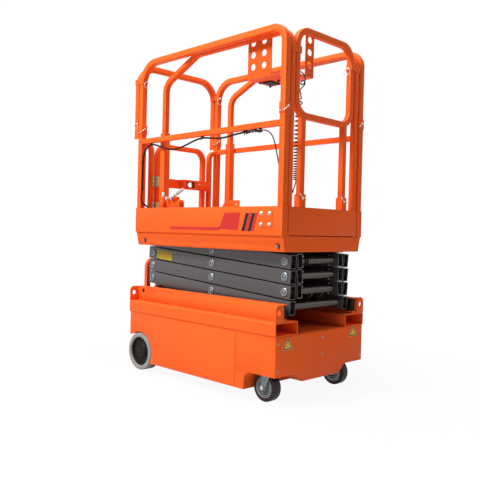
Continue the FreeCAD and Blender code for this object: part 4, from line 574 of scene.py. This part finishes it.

# Swivel casters: zinc-plated pressed fork, ringed alloy core, dark polyurethane tread whose side
# shows a thin maroon line. Thin black rings on the floors of the core's grooves are painted shade. A
# bolt through the fork carries the wheel.


def hexagon_nut(radius, height, bore):
    """A nut on Z: a chamfered hexagon whose rings step in to a round hole with a stud's end in it."""
    angle = np.linspace(0, 2 * np.pi, 24, endpoint=False)
    zero = np.zeros_like(angle)
    side = np.pi / 3
    six = radius * math.cos(side / 2) / np.cos((angle % side) - side / 2)
    rings = [
        (zero, 0), (six, 0), (six, height * 0.85), (np.minimum(six, radius * 0.93), height),
        (zero + radius * 0.88, height), (zero + bore, height), (zero + bore * 0.9, height * 1.25),
        (zero, height * 1.25),
    ]
    points = [np.stack([r * np.cos(angle), r * np.sin(angle), zero + z], -1) for r, z in rings]
    return np.concatenate(points), grid(len(rings), 24)


zinc = finish(
    "zinc_plate", (0.60, 0.60, 0.59), 0.08, (0.25, 0.45), ((900.0, 0.03),), metal=1.0, patch=20.0
)
maroon = finish(
    "maroon_tread", (0.070, 0.012, 0.010), 0.3, (0.30, 0.5), ((500.0, 0.08),), patch=12.0
)
tread_black = finish(
    "black_tread", (0.017, 0.014, 0.014), 0.3, (0.34, 0.55), ((500.0, 0.08),), patch=12.0
)
alloy = finish(
    "cast_alloy", (0.27, 0.29, 0.31), 0.14, (0.30, 0.5), ((600.0, 0.06),), metal=0.75, patch=16.0
)
pressed = finish(
    "pressed_zinc", (0.20, 0.21, 0.23), 0.12, (0.26, 0.46), ((700.0, 0.05),), metal=0.85,
    patch=16.0,
)
caster_x, caster_lane, caster_axle = 0.5355, 0.292, 0.075
core_half, fork_half = 0.025, 0.036
caster_rings = lathe(
    [
        (0, 0), (0.0535, 0), (0.0530, 0.0022), (0.0490, 0.0026), (0.0478, 0.0008),
        (0.0452, 0.0008), (0.0440, 0.0026), (0.0400, 0.0026), (0.0388, 0.0006), (0.0330, 0.0006),
        (0.0318, 0.0020), (0.0300, 0.0020), (0.0288, 0.0006), (0.0220, 0.0006), (0.0205, 0.0030),
        (0.0120, 0.0030), (0.0110, 0.0036), (0, 0.0036),
    ],
    56,
)
# Thin black rings on the groove floors of the core: painted shade in the grooves.
groove_shade_rings = [
    lathe([(inner, 0.0), (outer, 0.0), (outer, 0.0012), (inner, 0.0012), (inner, 0.0)], 56)
    for inner, outer in ((0.0453, 0.0477), (0.0331, 0.0387), (0.0221, 0.0287))
]
maroon_band = lathe(
    [(0.0560, 0.0), (0.0600, 0.0), (0.0597, 0.0006), (0.0563, 0.0006), (0.0560, 0.0)], 56
)
axle_nut = hexagon_nut(0.0125, 0.0080, 0.006)
for caster, side in (("near", -1), ("far", 1)):
    softened(f"caster_fork_{caster}", 0.9, pressed)
    softened(f"caster_tread_{caster}", 3.0, tread_black, 3)
    softened(f"caster_core_{caster}", 0.6, alloy)
    wheel = f"caster_wheel_{caster}"
    lane = side * caster_lane
    faces = [((caster_x, lane + out * core_half, caster_axle), out) for out in (-1, 1)]
    rings = [stamped(caster_rings, [at], (0, out, 0)) for at, out in faces]
    made(f"caster_rings_{caster}", rings, alloy, wheel, 25)
    # Painted shade laid into the grooves of both faces of the core.
    groove_shades = [stamped(part, [at], (0, out, 0)) for at, out in faces for part in groove_shade_rings]
    made(f"caster_groove_shades_{caster}", groove_shades, nylon_and_shade, wheel)
    lines = [stamped(maroon_band, [at], (0, out, 0)) for at, out in faces]
    made(f"caster_lines_{caster}", lines, maroon, wheel)
    bolts = [
        stamped(axle_nut, [(caster_x, lane + out * fork_half, caster_axle)], (0, out, 0))
        for out in (-1, 1)
    ]
    made(f"caster_bolts_{caster}", bolts, zinc, f"caster_{caster}")
softened("caster_plates", 0.9, pressed)

# Scissor arms: rectangular steel tube in dark satin grey, open at the ends, with black cross tubes
# between them; the arms' insides carry the same near-black as painted shade. Tiny screws hold the
# hose clips inside, and two rubber rings sit on the top tube.
FIXED_PIN, CENTRE_PIN, SLIDING_PIN, PIN_SPAN = -0.5135, 0.0425, 0.5985, 1.112
LOW_PIN, STAGE_RISE = 0.489, 0.07925
ARM_SLOPE = math.atan2(STAGE_RISE, PIN_SPAN)
INNER_LANE, INNER_WIDTH, OUTER_LANE, OUTER_WIDTH = 0.155, 0.042, 0.206, 0.044
ARM_WALL, ARM_HOLLOW, TUBE_REACH = 0.0049, 0.0325, 0.1549


def repainted(piece, material, test):
    """Gives the faces whose middle passes a test of (x, y, z) arrays a second material."""
    mesh = piece.data
    mesh.materials.append(material)
    middle = np.empty(len(mesh.polygons) * 3)
    mesh.polygons.foreach_get("center", middle)
    index = np.where(test(*middle.reshape(-1, 3).T), len(mesh.materials) - 1, 0)
    mesh.polygons.foreach_set("material_index", index.astype(np.int32))


def tube_and_shade_faces(lane, width, slope, level):
    """A test for the cross tubes' faces and the insides of the arms: those nearer the machine's
    middle than the tubes reach, or farther in than the wall from both sides of the arm and within
    half its hollow of its middle line, which rises with the slope. The cross tubes' dark colour is
    their own; on the arms' insides it is painted shade."""

    def test(x, y, z):
        off = np.abs(y) - lane
        line = level + np.tan(slope) * (x - CENTRE_PIN)
        inside = (off > ARM_WALL) & (off < width - ARM_WALL) & (np.abs(z - line) < ARM_HOLLOW)
        return (np.abs(y) < TUBE_REACH) | inside

    return test


arm_coat = finish(
    "arm_grey_paint", (0.066, 0.063, 0.065), 0.07, (0.26, 0.38), PEEL, specular=0.6
)
# Near-black of the cross tubes, also laid on the arms' insides as painted shade.
tube_and_shade_coat = finish(
    "cross_tube_and_shade_paint", (0.024, 0.020, 0.017), 0.2, (0.24, 0.34), specular=0.45
)
white_zinc = finish(
    "white_zinc", (0.62, 0.62, 0.62), 0.05, (0.35, 0.5), metal=0.3, patch=20.0
)
clip_screw = lathe([(0, 0), (0.0046, 0), (0.0046, 0.0020), (0.0030, 0.0036), (0, 0.0038)], 14)
clip_rise = 0.027
for stage in (1, 2, 3, 4):
    middle = LOW_PIN + STAGE_RISE * (stage - 0.5)
    inner = softened(f"inner_arms_{stage}", 6.5, arm_coat, 4, SHORT_EDGES)
    # Painted shade: the inner arms' insides take the cross tubes' near-black.
    repainted(inner, tube_and_shade_coat, tube_and_shade_faces(INNER_LANE, INNER_WIDTH, ARM_SLOPE, middle))
    outer = softened(f"outer_arms_{stage}", 3.6, arm_coat, 4, SHORT_EDGES)
    # Clamped, the shortest edges would hold back the rounding of the long ones.
    outer.modifiers["edges"].use_clamp_overlap = False
    # Painted shade: the outer arms' insides take the same near-black.
    repainted(outer, tube_and_shade_coat, tube_and_shade_faces(OUTER_LANE, OUTER_WIDTH, -ARM_SLOPE, middle))
    if stage < 4:
        level = LOW_PIN + STAGE_RISE * stage
        screws = [
            stamped(clip_screw, [(x, side * INNER_LANE, level + rise)], (0, -side, 0))
            for x, side in ((0.636, -1), (0.577, 1))
            for rise in (-clip_rise, clip_rise)
        ]
        made(f"clip_screws_{stage}", screws, white_zinc, f"stage_{stage}_inner")
rubber_ring = lathe(
    [
        (0.0205, -0.004), (0.0245, -0.004), (0.0265, -0.0015), (0.0265, 0.0015), (0.0245, 0.004),
        (0.0205, 0.004), (0.0205, -0.004),
    ],
    40,
)
top_tube = LOW_PIN + STAGE_RISE * 3
tube_rings = stamped(rubber_ring, [(SLIDING_PIN, y, top_tube) for y in (-0.108, -0.088)], (0, 1, 0))
made("cross_tube_rings", [tube_rings], nylon_and_shade, "stage_3_inner", 50)
chrome = finish("hard_chrome", (0.72, 0.73, 0.75), 0.03, (0.08, 0.16), metal=1.0)
softened("slide_blocks_low", 1.5, nylon_and_shade)
softened("slide_blocks_top", 1.5, nylon_and_shade)
softened("lift_cylinder_barrel", 1.0, black_coat)
softened("lift_cylinder_rod", 0.8, chrome)
label_face = dict(
    origin=(-0.398, -0.250, 0.714),
    across=(math.cos(ARM_SLOPE), 0, -math.sin(ARM_SLOPE)),
    up=(math.sin(ARM_SLOPE), 0, math.cos(ARM_SLOPE)),
)
label_film = finish("label_film", (0.40, 0.29, 0.02), 0.15, **FILM)
label_border = slab(rounded(0.078, 0.0305, 0.004), 0.0002)
label_field = slab(rounded(0.0755, 0.028, 0.003), 0.0003)
for name, sheet, film in (
    ("arm_label_border", label_border, dark_film),
    ("arm_label_field", label_field, label_film),
):
    made(name, [placed(sheet, **label_face)], film, "stage_3_outer")

# Pin heads: a grey washer with a rounded rim and a socket screw in its hollow, at each pin on the
# outer arms' faces.
pin_washer = lathe(
    [
        (0, 0), (0.0226, 0.0), (0.0222, 0.0040), (0.0195, 0.0056), (0.0150, 0.0052),
        (0.0135, 0.0024), (0, 0.0022),
    ],
    40,
)
pin_screw = socket_screw(0.0105, 0.0060, 0.0046)
arm_face, washer_floor = 0.250, 0.2520
for stage in (1, 2, 3, 4):
    level = LOW_PIN + STAGE_RISE * stage
    spots = [(FIXED_PIN, level), (CENTRE_PIN, level - STAGE_RISE / 2)]
    if stage > 1:
        spots.append((SLIDING_PIN, level - STAGE_RISE))
    parts = []
    for side in (-1, 1):
        for shape, lane in ((pin_washer, arm_face), (pin_screw, washer_floor)):
            parts.append(stamped(shape, [(x, side * lane, z) for x, z in spots], (0, side, 0)))
    made(f"pin_heads_{stage}", parts, alloy, f"stage_{stage}_outer")

# Platform: folded skirt round a chequer-plate deck, with channels and brackets for the top pins
# underneath. Plain slanted bars and a stripe decorate the near skirt, and a plate is bolted on it.
MARK_STEP, MARK_POINTS = 0.026, 12
SKIRT_FACE = -0.345


def lozenge(turn):
    """A raised tread mark: rings of an ellipse that shrinks as it rises, turned about Z."""
    angle = np.linspace(0, 2 * np.pi, MARK_POINTS, endpoint=False)
    rings = [(0.0, -0.0004), (1.0, -0.0004), (0.74, 0.0008), (0.0, 0.0011)]
    flat = np.stack([0.0125 * np.cos(angle), 0.0036 * np.sin(angle)], -1)
    flat = flat @ np.array([(math.cos(turn), math.sin(turn)), (-math.sin(turn), math.cos(turn))])
    points = [np.c_[flat * scale, np.full(MARK_POINTS, level)] for scale, level in rings]
    return np.concatenate(points), grid(len(rings), MARK_POINTS)


def tread(name, x_range, y_range, level, body):
    """Tread marks on a square lattice, leaning left and right in turn like a chessboard's fields."""
    across = np.arange(*x_range, MARK_STEP)
    along = np.arange(*y_range, MARK_STEP)
    x, y = np.meshgrid(across, along, indexing="ij")
    odd = np.add.outer(np.arange(len(across)), np.arange(len(along))) % 2 == 1
    parts = []
    for lean, which in ((math.pi / 4, odd), (-math.pi / 4, ~odd)):
        spots = np.stack([x[which], y[which], np.full(which.sum(), level)], -1)
        parts.append(stamped(lozenge(lean), spots, (0, 0, 1)))
    made(name, parts, orange, body, 60)


def skirt_marks(name, outlines, film):
    """Thin sheets on the near skirt, each from an outline in metres along X and up Z."""
    sheets = [
        placed(slab(line, 0.0003), (0, SKIRT_FACE, 0), (1, 0, 0), (0, 0, 1)) for line in outlines
    ]
    made(name, sheets, film, "platform")


def slanted_bar(x):
    """A bar of the skirt: a parallelogram 22 mm wide that leans 30 mm over its height."""
    low, high = 0.877, 0.973
    return [(x, low), (x + 0.022, low), (x + 0.052, high), (x + 0.030, high)]


softened("platform_tub", 1.2, orange)
softened("platform_channels", 1.2, orange)
softened("platform_brackets", 1.2, orange)
tread("platform_tread", (-0.560, -0.405), (-0.286, 0.290), 0.857, "platform")
red_film = finish(
    "red_film", (0.56, 0.026, 0.020), 0.06, (0.28, 0.40), ((300.0, 0.01),), patch=20.0
)
stripe = [(-0.2274, 0.8775), (0.200, 0.8775), (0.206, 0.8954), (-0.2274, 0.8954)]
wedge = [(0.197, 0.8878), (0.3444, 0.8798), (0.3600, 0.9765), (0.2377, 0.9742)]
red_marks = [stripe, wedge, slanted_bar(0.392), slanted_bar(0.438)]
skirt_marks("skirt_red_marks", red_marks, red_film)
black_marks = [slanted_bar(0.370), slanted_bar(0.416)]
skirt_marks("skirt_black_marks", black_marks, dark_film)
plate = slab(rounded(0.042, 0.0405, 0.004), 0.003, 0.0008)
plate = placed(plate, (0.547, SKIRT_FACE, 0.942), (1, 0, 0), (0, 0, 1))
made("skirt_plate", [plate], orange, "platform")
strip = slab(rounded(0.0217, 0.0745, 0.0015, 3), 0.0006)
end_strips = [placed(strip, (0.6545, y, 0.9325), (0, 1, 0), (0, 0, 1)) for y in (-0.3232, 0.3232)]
made("skirt_end_strips", end_strips, orange, "platform")
dome_nut = lathe(
    [
        (0, 0), (0.0105, 0), (0.0105, 0.0012), (0.0085, 0.0022), (0.0080, 0.0045),
        (0.0062, 0.0072), (0.0032, 0.0088), (0, 0.0092),
    ],
    28,
)
bright = finish(
    "bright_zinc", (0.62, 0.61, 0.59), 0.06, (0.22, 0.36), ((900.0, 0.03),), metal=0.9, patch=20.0
)
nut_spots = [(x, -0.348, z) for x in (0.513, 0.571) for z in (0.914, 0.970)]
plate_nuts = stamped(dome_nut, nut_spots, (0, -1, 0))
made("skirt_plate_nuts", [plate_nuts], bright, "platform")
small_nut = hexagon_nut(0.0085, 0.006, 0.004)
hole_bolts = [
    stamped(small_nut, [(x, side * 0.3265, 0.805) for x in (-0.506, 0.614)], (0, side, 0))
    for side in (-1, 1)
]
made("skirt_hole_bolts", hole_bolts, alloy, "platform")

# Guard frames of bent square tube: fixed lower posts, upper frames on sleeves, entry stubs, entry
# frame, and the gate on two plated butt hinges. Flat straps and ring pins lock the corners.


def ring_plate(outer, inner, thickness):
    """A flat sheet between two outlines of as many points: the profile inner, inner, outer, outer."""
    rings = [(inner, 0), (inner, thickness), (outer, thickness), (outer, 0), (inner, 0)]
    points = [np.c_[line, np.full(len(line), level)] for line, level in rings]
    return np.concatenate(points), grid(len(rings), len(outer))


def strap(half_x, half_y, corner=0.004, thickness=0.003, height=0.033):
    """A flat band round a rounded rectangle, on Z: the profile of the band's section, with its outer
    edges broken, stands on each point of the rectangle, growing outwards by the band's thickness."""
    edge = thickness * 0.3
    profile = [
        (0, -height / 2), (thickness - edge, -height / 2), (thickness, edge - height / 2),
        (thickness, height / 2 - edge), (thickness - edge, height / 2), (0, height / 2),
        (0, -height / 2),
    ]
    rings = []
    for out, level in profile:
        line = rounded(half_x + out, half_y + out, corner + out)
        rings.append(np.c_[line, np.full(len(line), level)])
    return np.concatenate(rings), grid(len(rings), len(rings[0]))


def hanging_ring(top, across, radius, sag):
    """Points of a wire ring that hangs from its top: a full turn in the plane of Z and the across
    way, its height stretched by the sag."""
    turn = np.linspace(0, 2 * np.pi, 15)[:, None]
    sideways = radius * np.sin(turn) * np.array(across, float)
    return np.array(top) + sideways - radius * sag * (1 - np.cos(turn)) * np.array((0, 0, 1))


bronze = finish(
    "bronze_plate", (0.34, 0.22, 0.10), 0.2, (0.32, 0.5), ((700.0, 0.05),), metal=0.9, patch=30.0
)
tube_wide_edges = (0.0275, 0.0465)
for name in ("guard_lower_near", "guard_lower_far", "guard_upper_near", "guard_upper_far"):
    softened(name, 4.0, orange, 3, tube_wide_edges)
for name in ("entry_stubs", "guard_upper_entry", "gate"):
    softened(name, 4.0, orange, 3)
softened("gate_hinges_fixed", 0.6, bronze)
softened("gate_hinges_swing", 0.6, bronze)
leaf_screw = socket_screw(0.0038, 0.0014, 0.0014, 12)
for name, y, body in (
    ("fixed_leaf_screws", -0.2450, "platform"),
    ("swing_leaf_screws", -0.2050, "gate"),
):
    spots = [(-0.5340, y, hinge + rise) for hinge in (1.016, 1.182) for rise in (-0.022, 0.0, 0.022)]
    made(name, [stamped(leaf_screw, spots, (1, 0, 0))], zinc, body)
lining = ring_plate(rounded(0.0353, 0.0203, 0.001, 8), rounded(0.0250, 0.0160, 0.0159, 8), 0.004)
lining = placed(lining, (-0.5310, 0.0605, 1.180), (0, 1, 0), (0, 0, 1))
made("latch_hole_lining", [lining], nylon_and_shade, "gate")
latch_screw = stamped(socket_screw(0.006, 0.0028, 0.0025), [(-0.5265, 0.136, 1.186)], (1, 0, 0))
made("latch_screw", [latch_screw], zinc, "gate")
strap_level = 1.807
strap_spots = [(-0.578, y, strap_level) for y in (-RAIL_LANE, RAIL_LANE)]
entry_straps = stamped(strap(0.0400, 0.0185), strap_spots, (0, 0, 1))
made("entry_corner_straps", [entry_straps], orange, "platform")
pin_head = lathe(
    [(0, 0), (0.0058, 0), (0.0062, 0.0012), (0.0058, 0.0050), (0.0040, 0.0072), (0, 0.0078)], 20
)
THIN_WIRE, RING_WIRE, LATCH_WIRE = 0.0014, 0.0015, 0.0016
entry_heads, rings = [], []
for y in (-0.3145, 0.3145):
    entry_heads.append((-0.5353, y, 1.806))
    rings.append((hanging_ring((-0.5300, y, 1.806), (0.2, 0.98, 0), 0.0185, 1.2), RING_WIRE))
entry_heads = stamped(pin_head, entry_heads, (1, 0, 0))
made("entry_pin_heads", [entry_heads], bright, "platform")
smooth_line("entry_ring_wires", rings, bright, "platform")
sleeve_level = 1.5075
sleeve_heads, rings = [], []
for x, y in ((-0.5349, -RAIL_LANE), (-0.5349, RAIL_LANE), (0.6561, -RAIL_LANE), (0.6561, RAIL_LANE)):
    sleeve_heads.append((x, y - 0.0005, sleeve_level))
    corner = y - 0.0216
    wire = [
        (x + 0.001, y, sleeve_level), (x + 0.0022, y - 0.010, 1.500),
        (x + 0.002, corner + 0.001, 1.490), (x - 0.006, corner - 0.0028, 1.4845),
        (x - 0.022, corner - 0.0028, 1.4830), (x - 0.036, corner - 0.0022, 1.4835),
        (x - 0.042, corner - 0.0020, 1.4870),
    ]
    rings.append((wire, LATCH_WIRE))
low_head = lathe(
    [(0, 0), (0.0058, 0), (0.0062, 0.0008), (0.0058, 0.0026), (0.0040, 0.0036), (0, 0.0038)], 20
)
sleeve_heads = stamped(low_head, sleeve_heads, (1, 0, 0))
made("sleeve_pin_heads", [sleeve_heads], bright, "platform")
for y in (-0.3440, 0.3440):
    rings.append((hanging_ring((-0.6010, y, 1.548), (0.9, 0, 0.2), 0.017, 1.1), THIN_WIRE))
smooth_line("sleeve_ring_wires", rings, bright, "platform")
rail_beads = []
for side in (-1, 1):
    face = side * 0.338
    for x in (-0.5385, 0.6165):
        for level in (1.412, 1.442):
            rail_beads.append(bead((x, side * 0.336, level), (x, side * 0.310, level), 0.0016))
        rail_beads.append(bead((x, face, 1.414), (x, face, 1.440), 0.0016))
made("mid_rail_weld_beads", rail_beads, orange, "platform", 60)

# Sliding extension: chequer deck with fascia and post sockets, its side frames, end loop, the locks
# that hold it and the control bracket with its box's black pad and knobs underneath.
softened("extension_deck", 1.2, orange)
softened("extension_side_near", 4.0, orange, 3)
softened("extension_side_far", 4.0, orange, 3)
softened("extension_end_loop", 4.0, orange, 3)
softened("control_bracket", 0, orange)
tread("extension_tread", (-0.378, 0.590), (-0.247, 0.255), 0.866, "extension")
strap_spots = [(0.6305, y, strap_level) for y in (-0.2575, 0.2575)]
end_straps = stamped(strap(0.0190, 0.0380), strap_spots, (0, 0, 1))
made("end_corner_straps", [end_straps], orange, "extension")
end_heads = stamped(pin_head, [(0.6300, y, 1.803) for y in (-0.2165, 0.2165)], (0, -1, 0))
made("end_pin_heads", [end_heads], bright, "extension")
sockets = (-0.180, 0.180)
socket_heads = stamped(pin_head, [(0.6445, y, 1.052) for y in sockets], (1, 0, 0))
made("socket_pin_heads", [socket_heads], bright, "extension")
rings = [(hanging_ring((0.6300, 0.2000, 1.803), (0.98, 0.2, 0), 0.0185, 1.1), RING_WIRE)]
for y in sockets:
    wire = [
        (0.6490, y - 0.020, 1.078), (0.6540, y - 0.026, 1.066), (0.6550, y - 0.005, 1.057),
        (0.6540, y + 0.018, 1.052), (0.6460, y + 0.034, 1.047),
    ]
    rings.append((wire, LATCH_WIRE))
smooth_line("extension_ring_wires", rings, bright, "extension")
softened("deck_locks", 0.8, orange)
grip = lathe(
    [(0, 0), (0.0076, 0.0005), (0.0088, 0.003), (0.0088, 0.060), (0.0076, 0.0635), (0, 0.064)], 24
)
grip = stamped(grip, [(-0.2095, -0.318, 1.0885)], (0.906, 0, 0.423))
made("lever_grip", [grip], zinc, "extension")
ivory = finish(
    "ivory_knob", (0.72, 0.70, 0.66), 0.04, (0.30, 0.42), ((700.0, 0.03),), patch=20.0
)
levers = softened("lock_levers", 3.6, zinc, 4)
knob_low, knob_end = 1.0765, -0.330
repainted(levers, ivory, lambda x, y, z: (z > knob_low) & (x < knob_end))
foot_bolt = stamped(small_nut, [(-0.2775, 0.2545, 1.055)], (0, -1, 0))
made("lock_foot_bolt", [foot_bolt], zinc, "extension")
pad = slab([(-0.030, -0.038), (0.032, -0.038), (0.032, 0.040), (-0.030, 0.040)], 0.008, 0.0015)
pad = placed(pad, (0.375, -0.147, 1.695), (1, 0, 0), (0, -1, 0))
made("control_box_pad", [pad], nylon_and_shade, "extension")
foot_knob = lathe(
    [(0, 0), (0.0062, 0), (0.0070, 0.0015), (0.0066, 0.0065), (0.0045, 0.0085), (0, 0.0088)], 20
)
knob_spots = [(0.331, -0.185, 1.695), (0.318, -0.090, 1.695), (0.445, -0.162, 1.695)]
knobs = stamped(foot_knob, knob_spots, (0, 0, -1))
made("control_box_knobs", [knobs], nylon_and_shade, "extension")

# Floor, lamps and sky: a white sweep, a large soft lamp to the left of the camera, one overhead, a
# weak warm one off the far caster, and a pale sky. The floor shows white except in the shadow.


def seen_rays(tree):
    """1 for rays from the camera, from a gloss or through a clear surface, and 0 for the others: the
    largest of Light Path's three marks, taken two at a time."""
    path = tree.nodes.new("ShaderNodeLightPath")
    mark = path.outputs["Is Camera Ray"]
    for kind in ("Is Glossy Ray", "Is Transmission Ray"):
        larger = tree.nodes.new("ShaderNodeMath")
        larger.operation = "MAXIMUM"
        tree.links.new(mark, larger.inputs[0])
        tree.links.new(path.outputs[kind], larger.inputs[1])
        mark = larger.outputs["Value"]
    return mark


floor_material = bpy.data.materials.new("pale_floor")
floor_material.use_nodes = True
tree = floor_material.node_tree
ground = tree.nodes["Principled BSDF"]
ground.inputs["Base Color"].default_value = (0.62, 0.62, 0.62, 1)
ground.inputs["Roughness"].default_value = 0.9
ground.inputs["Specular IOR Level"].default_value = 0.1
glow = tree.nodes.new("ShaderNodeEmission")
glow.inputs["Color"].default_value = (1, 1, 1, 1)
glow.inputs["Strength"].default_value = 1.0
place = tree.nodes.new("ShaderNodeTexCoord")
distance = tree.nodes.new("ShaderNodeVectorMath")
distance.operation = "LENGTH"
share = tree.nodes.new("ShaderNodeMapRange")
share.inputs["From Min"].default_value = 0.7
share.inputs["From Max"].default_value = 2.0
share.inputs["To Min"].default_value = 0.93
share.inputs["To Max"].default_value = 1.0
seen = tree.nodes.new("ShaderNodeMath")
seen.operation = "MULTIPLY"
mixer = tree.nodes.new("ShaderNodeMixShader")
tree.links.new(place.outputs["Object"], distance.inputs[0])
tree.links.new(distance.outputs["Value"], share.inputs["Value"])
tree.links.new(seen_rays(tree), seen.inputs[0])
tree.links.new(share.outputs["Result"], seen.inputs[1])
tree.links.new(seen.outputs["Value"], mixer.inputs["Fac"])
tree.links.new(ground.outputs["BSDF"], mixer.inputs[1])
tree.links.new(glow.outputs["Emission"], mixer.inputs[2])
tree.links.new(mixer.outputs["Shader"], tree.nodes["Material Output"].inputs["Surface"])
reach = 14.0
floor_corners = [(-reach, -reach, 0), (reach, -reach, 0), (reach, reach, 0), (-reach, reach, 0)]
ground_mesh = bpy.data.meshes.new("floor")
ground_mesh.from_pydata(floor_corners, [], [(0, 1, 2, 3)])
ground_mesh.materials.append(floor_material)
floor = bpy.data.objects.new("floor", ground_mesh)
bpy.context.scene.collection.objects.link(floor)

world = bpy.context.scene.world or bpy.data.worlds.new("sky")
bpy.context.scene.world = world
world.use_nodes = True
sky = world.node_tree
backdrop = sky.nodes["Background"]
backdrop.inputs["Color"].default_value = (1, 1, 1, 1)
strength = sky.nodes.new("ShaderNodeMapRange")
strength.inputs["To Min"].default_value = 0.17
strength.inputs["To Max"].default_value = 1.0
sky.links.new(seen_rays(sky), strength.inputs["Value"])
sky.links.new(strength.outputs["Result"], backdrop.inputs["Strength"])

white, warm = (1.0, 1.0, 1.0), (1.0, 0.74, 0.62)
lamp_aim = Vector((0.05, 0, 0.9))
for name, stand_at, size, power, colour in (
    ("key", (-1.5, -5.5, 6.0), 2.0, 550.0, white),
    ("top", (0.2, -0.9, 5.4), 2.0, 230.0, white),
    ("rim", (3.6, 2.8, 2.8), 2.0, 32.0, warm),
):
    lamp = bpy.data.lights.new(name, "AREA")
    lamp.color = colour
    lamp.energy = power
    lamp.size = size
    stand = bpy.data.objects.new(name, lamp)
    bpy.context.scene.collection.objects.link(stand)
    stand.location = stand_at
    stand.rotation_euler = (lamp_aim - Vector(stand_at)).to_track_quat("-Z", "Y").to_euler()

bpy.context.scene.view_settings.view_transform = "Standard"
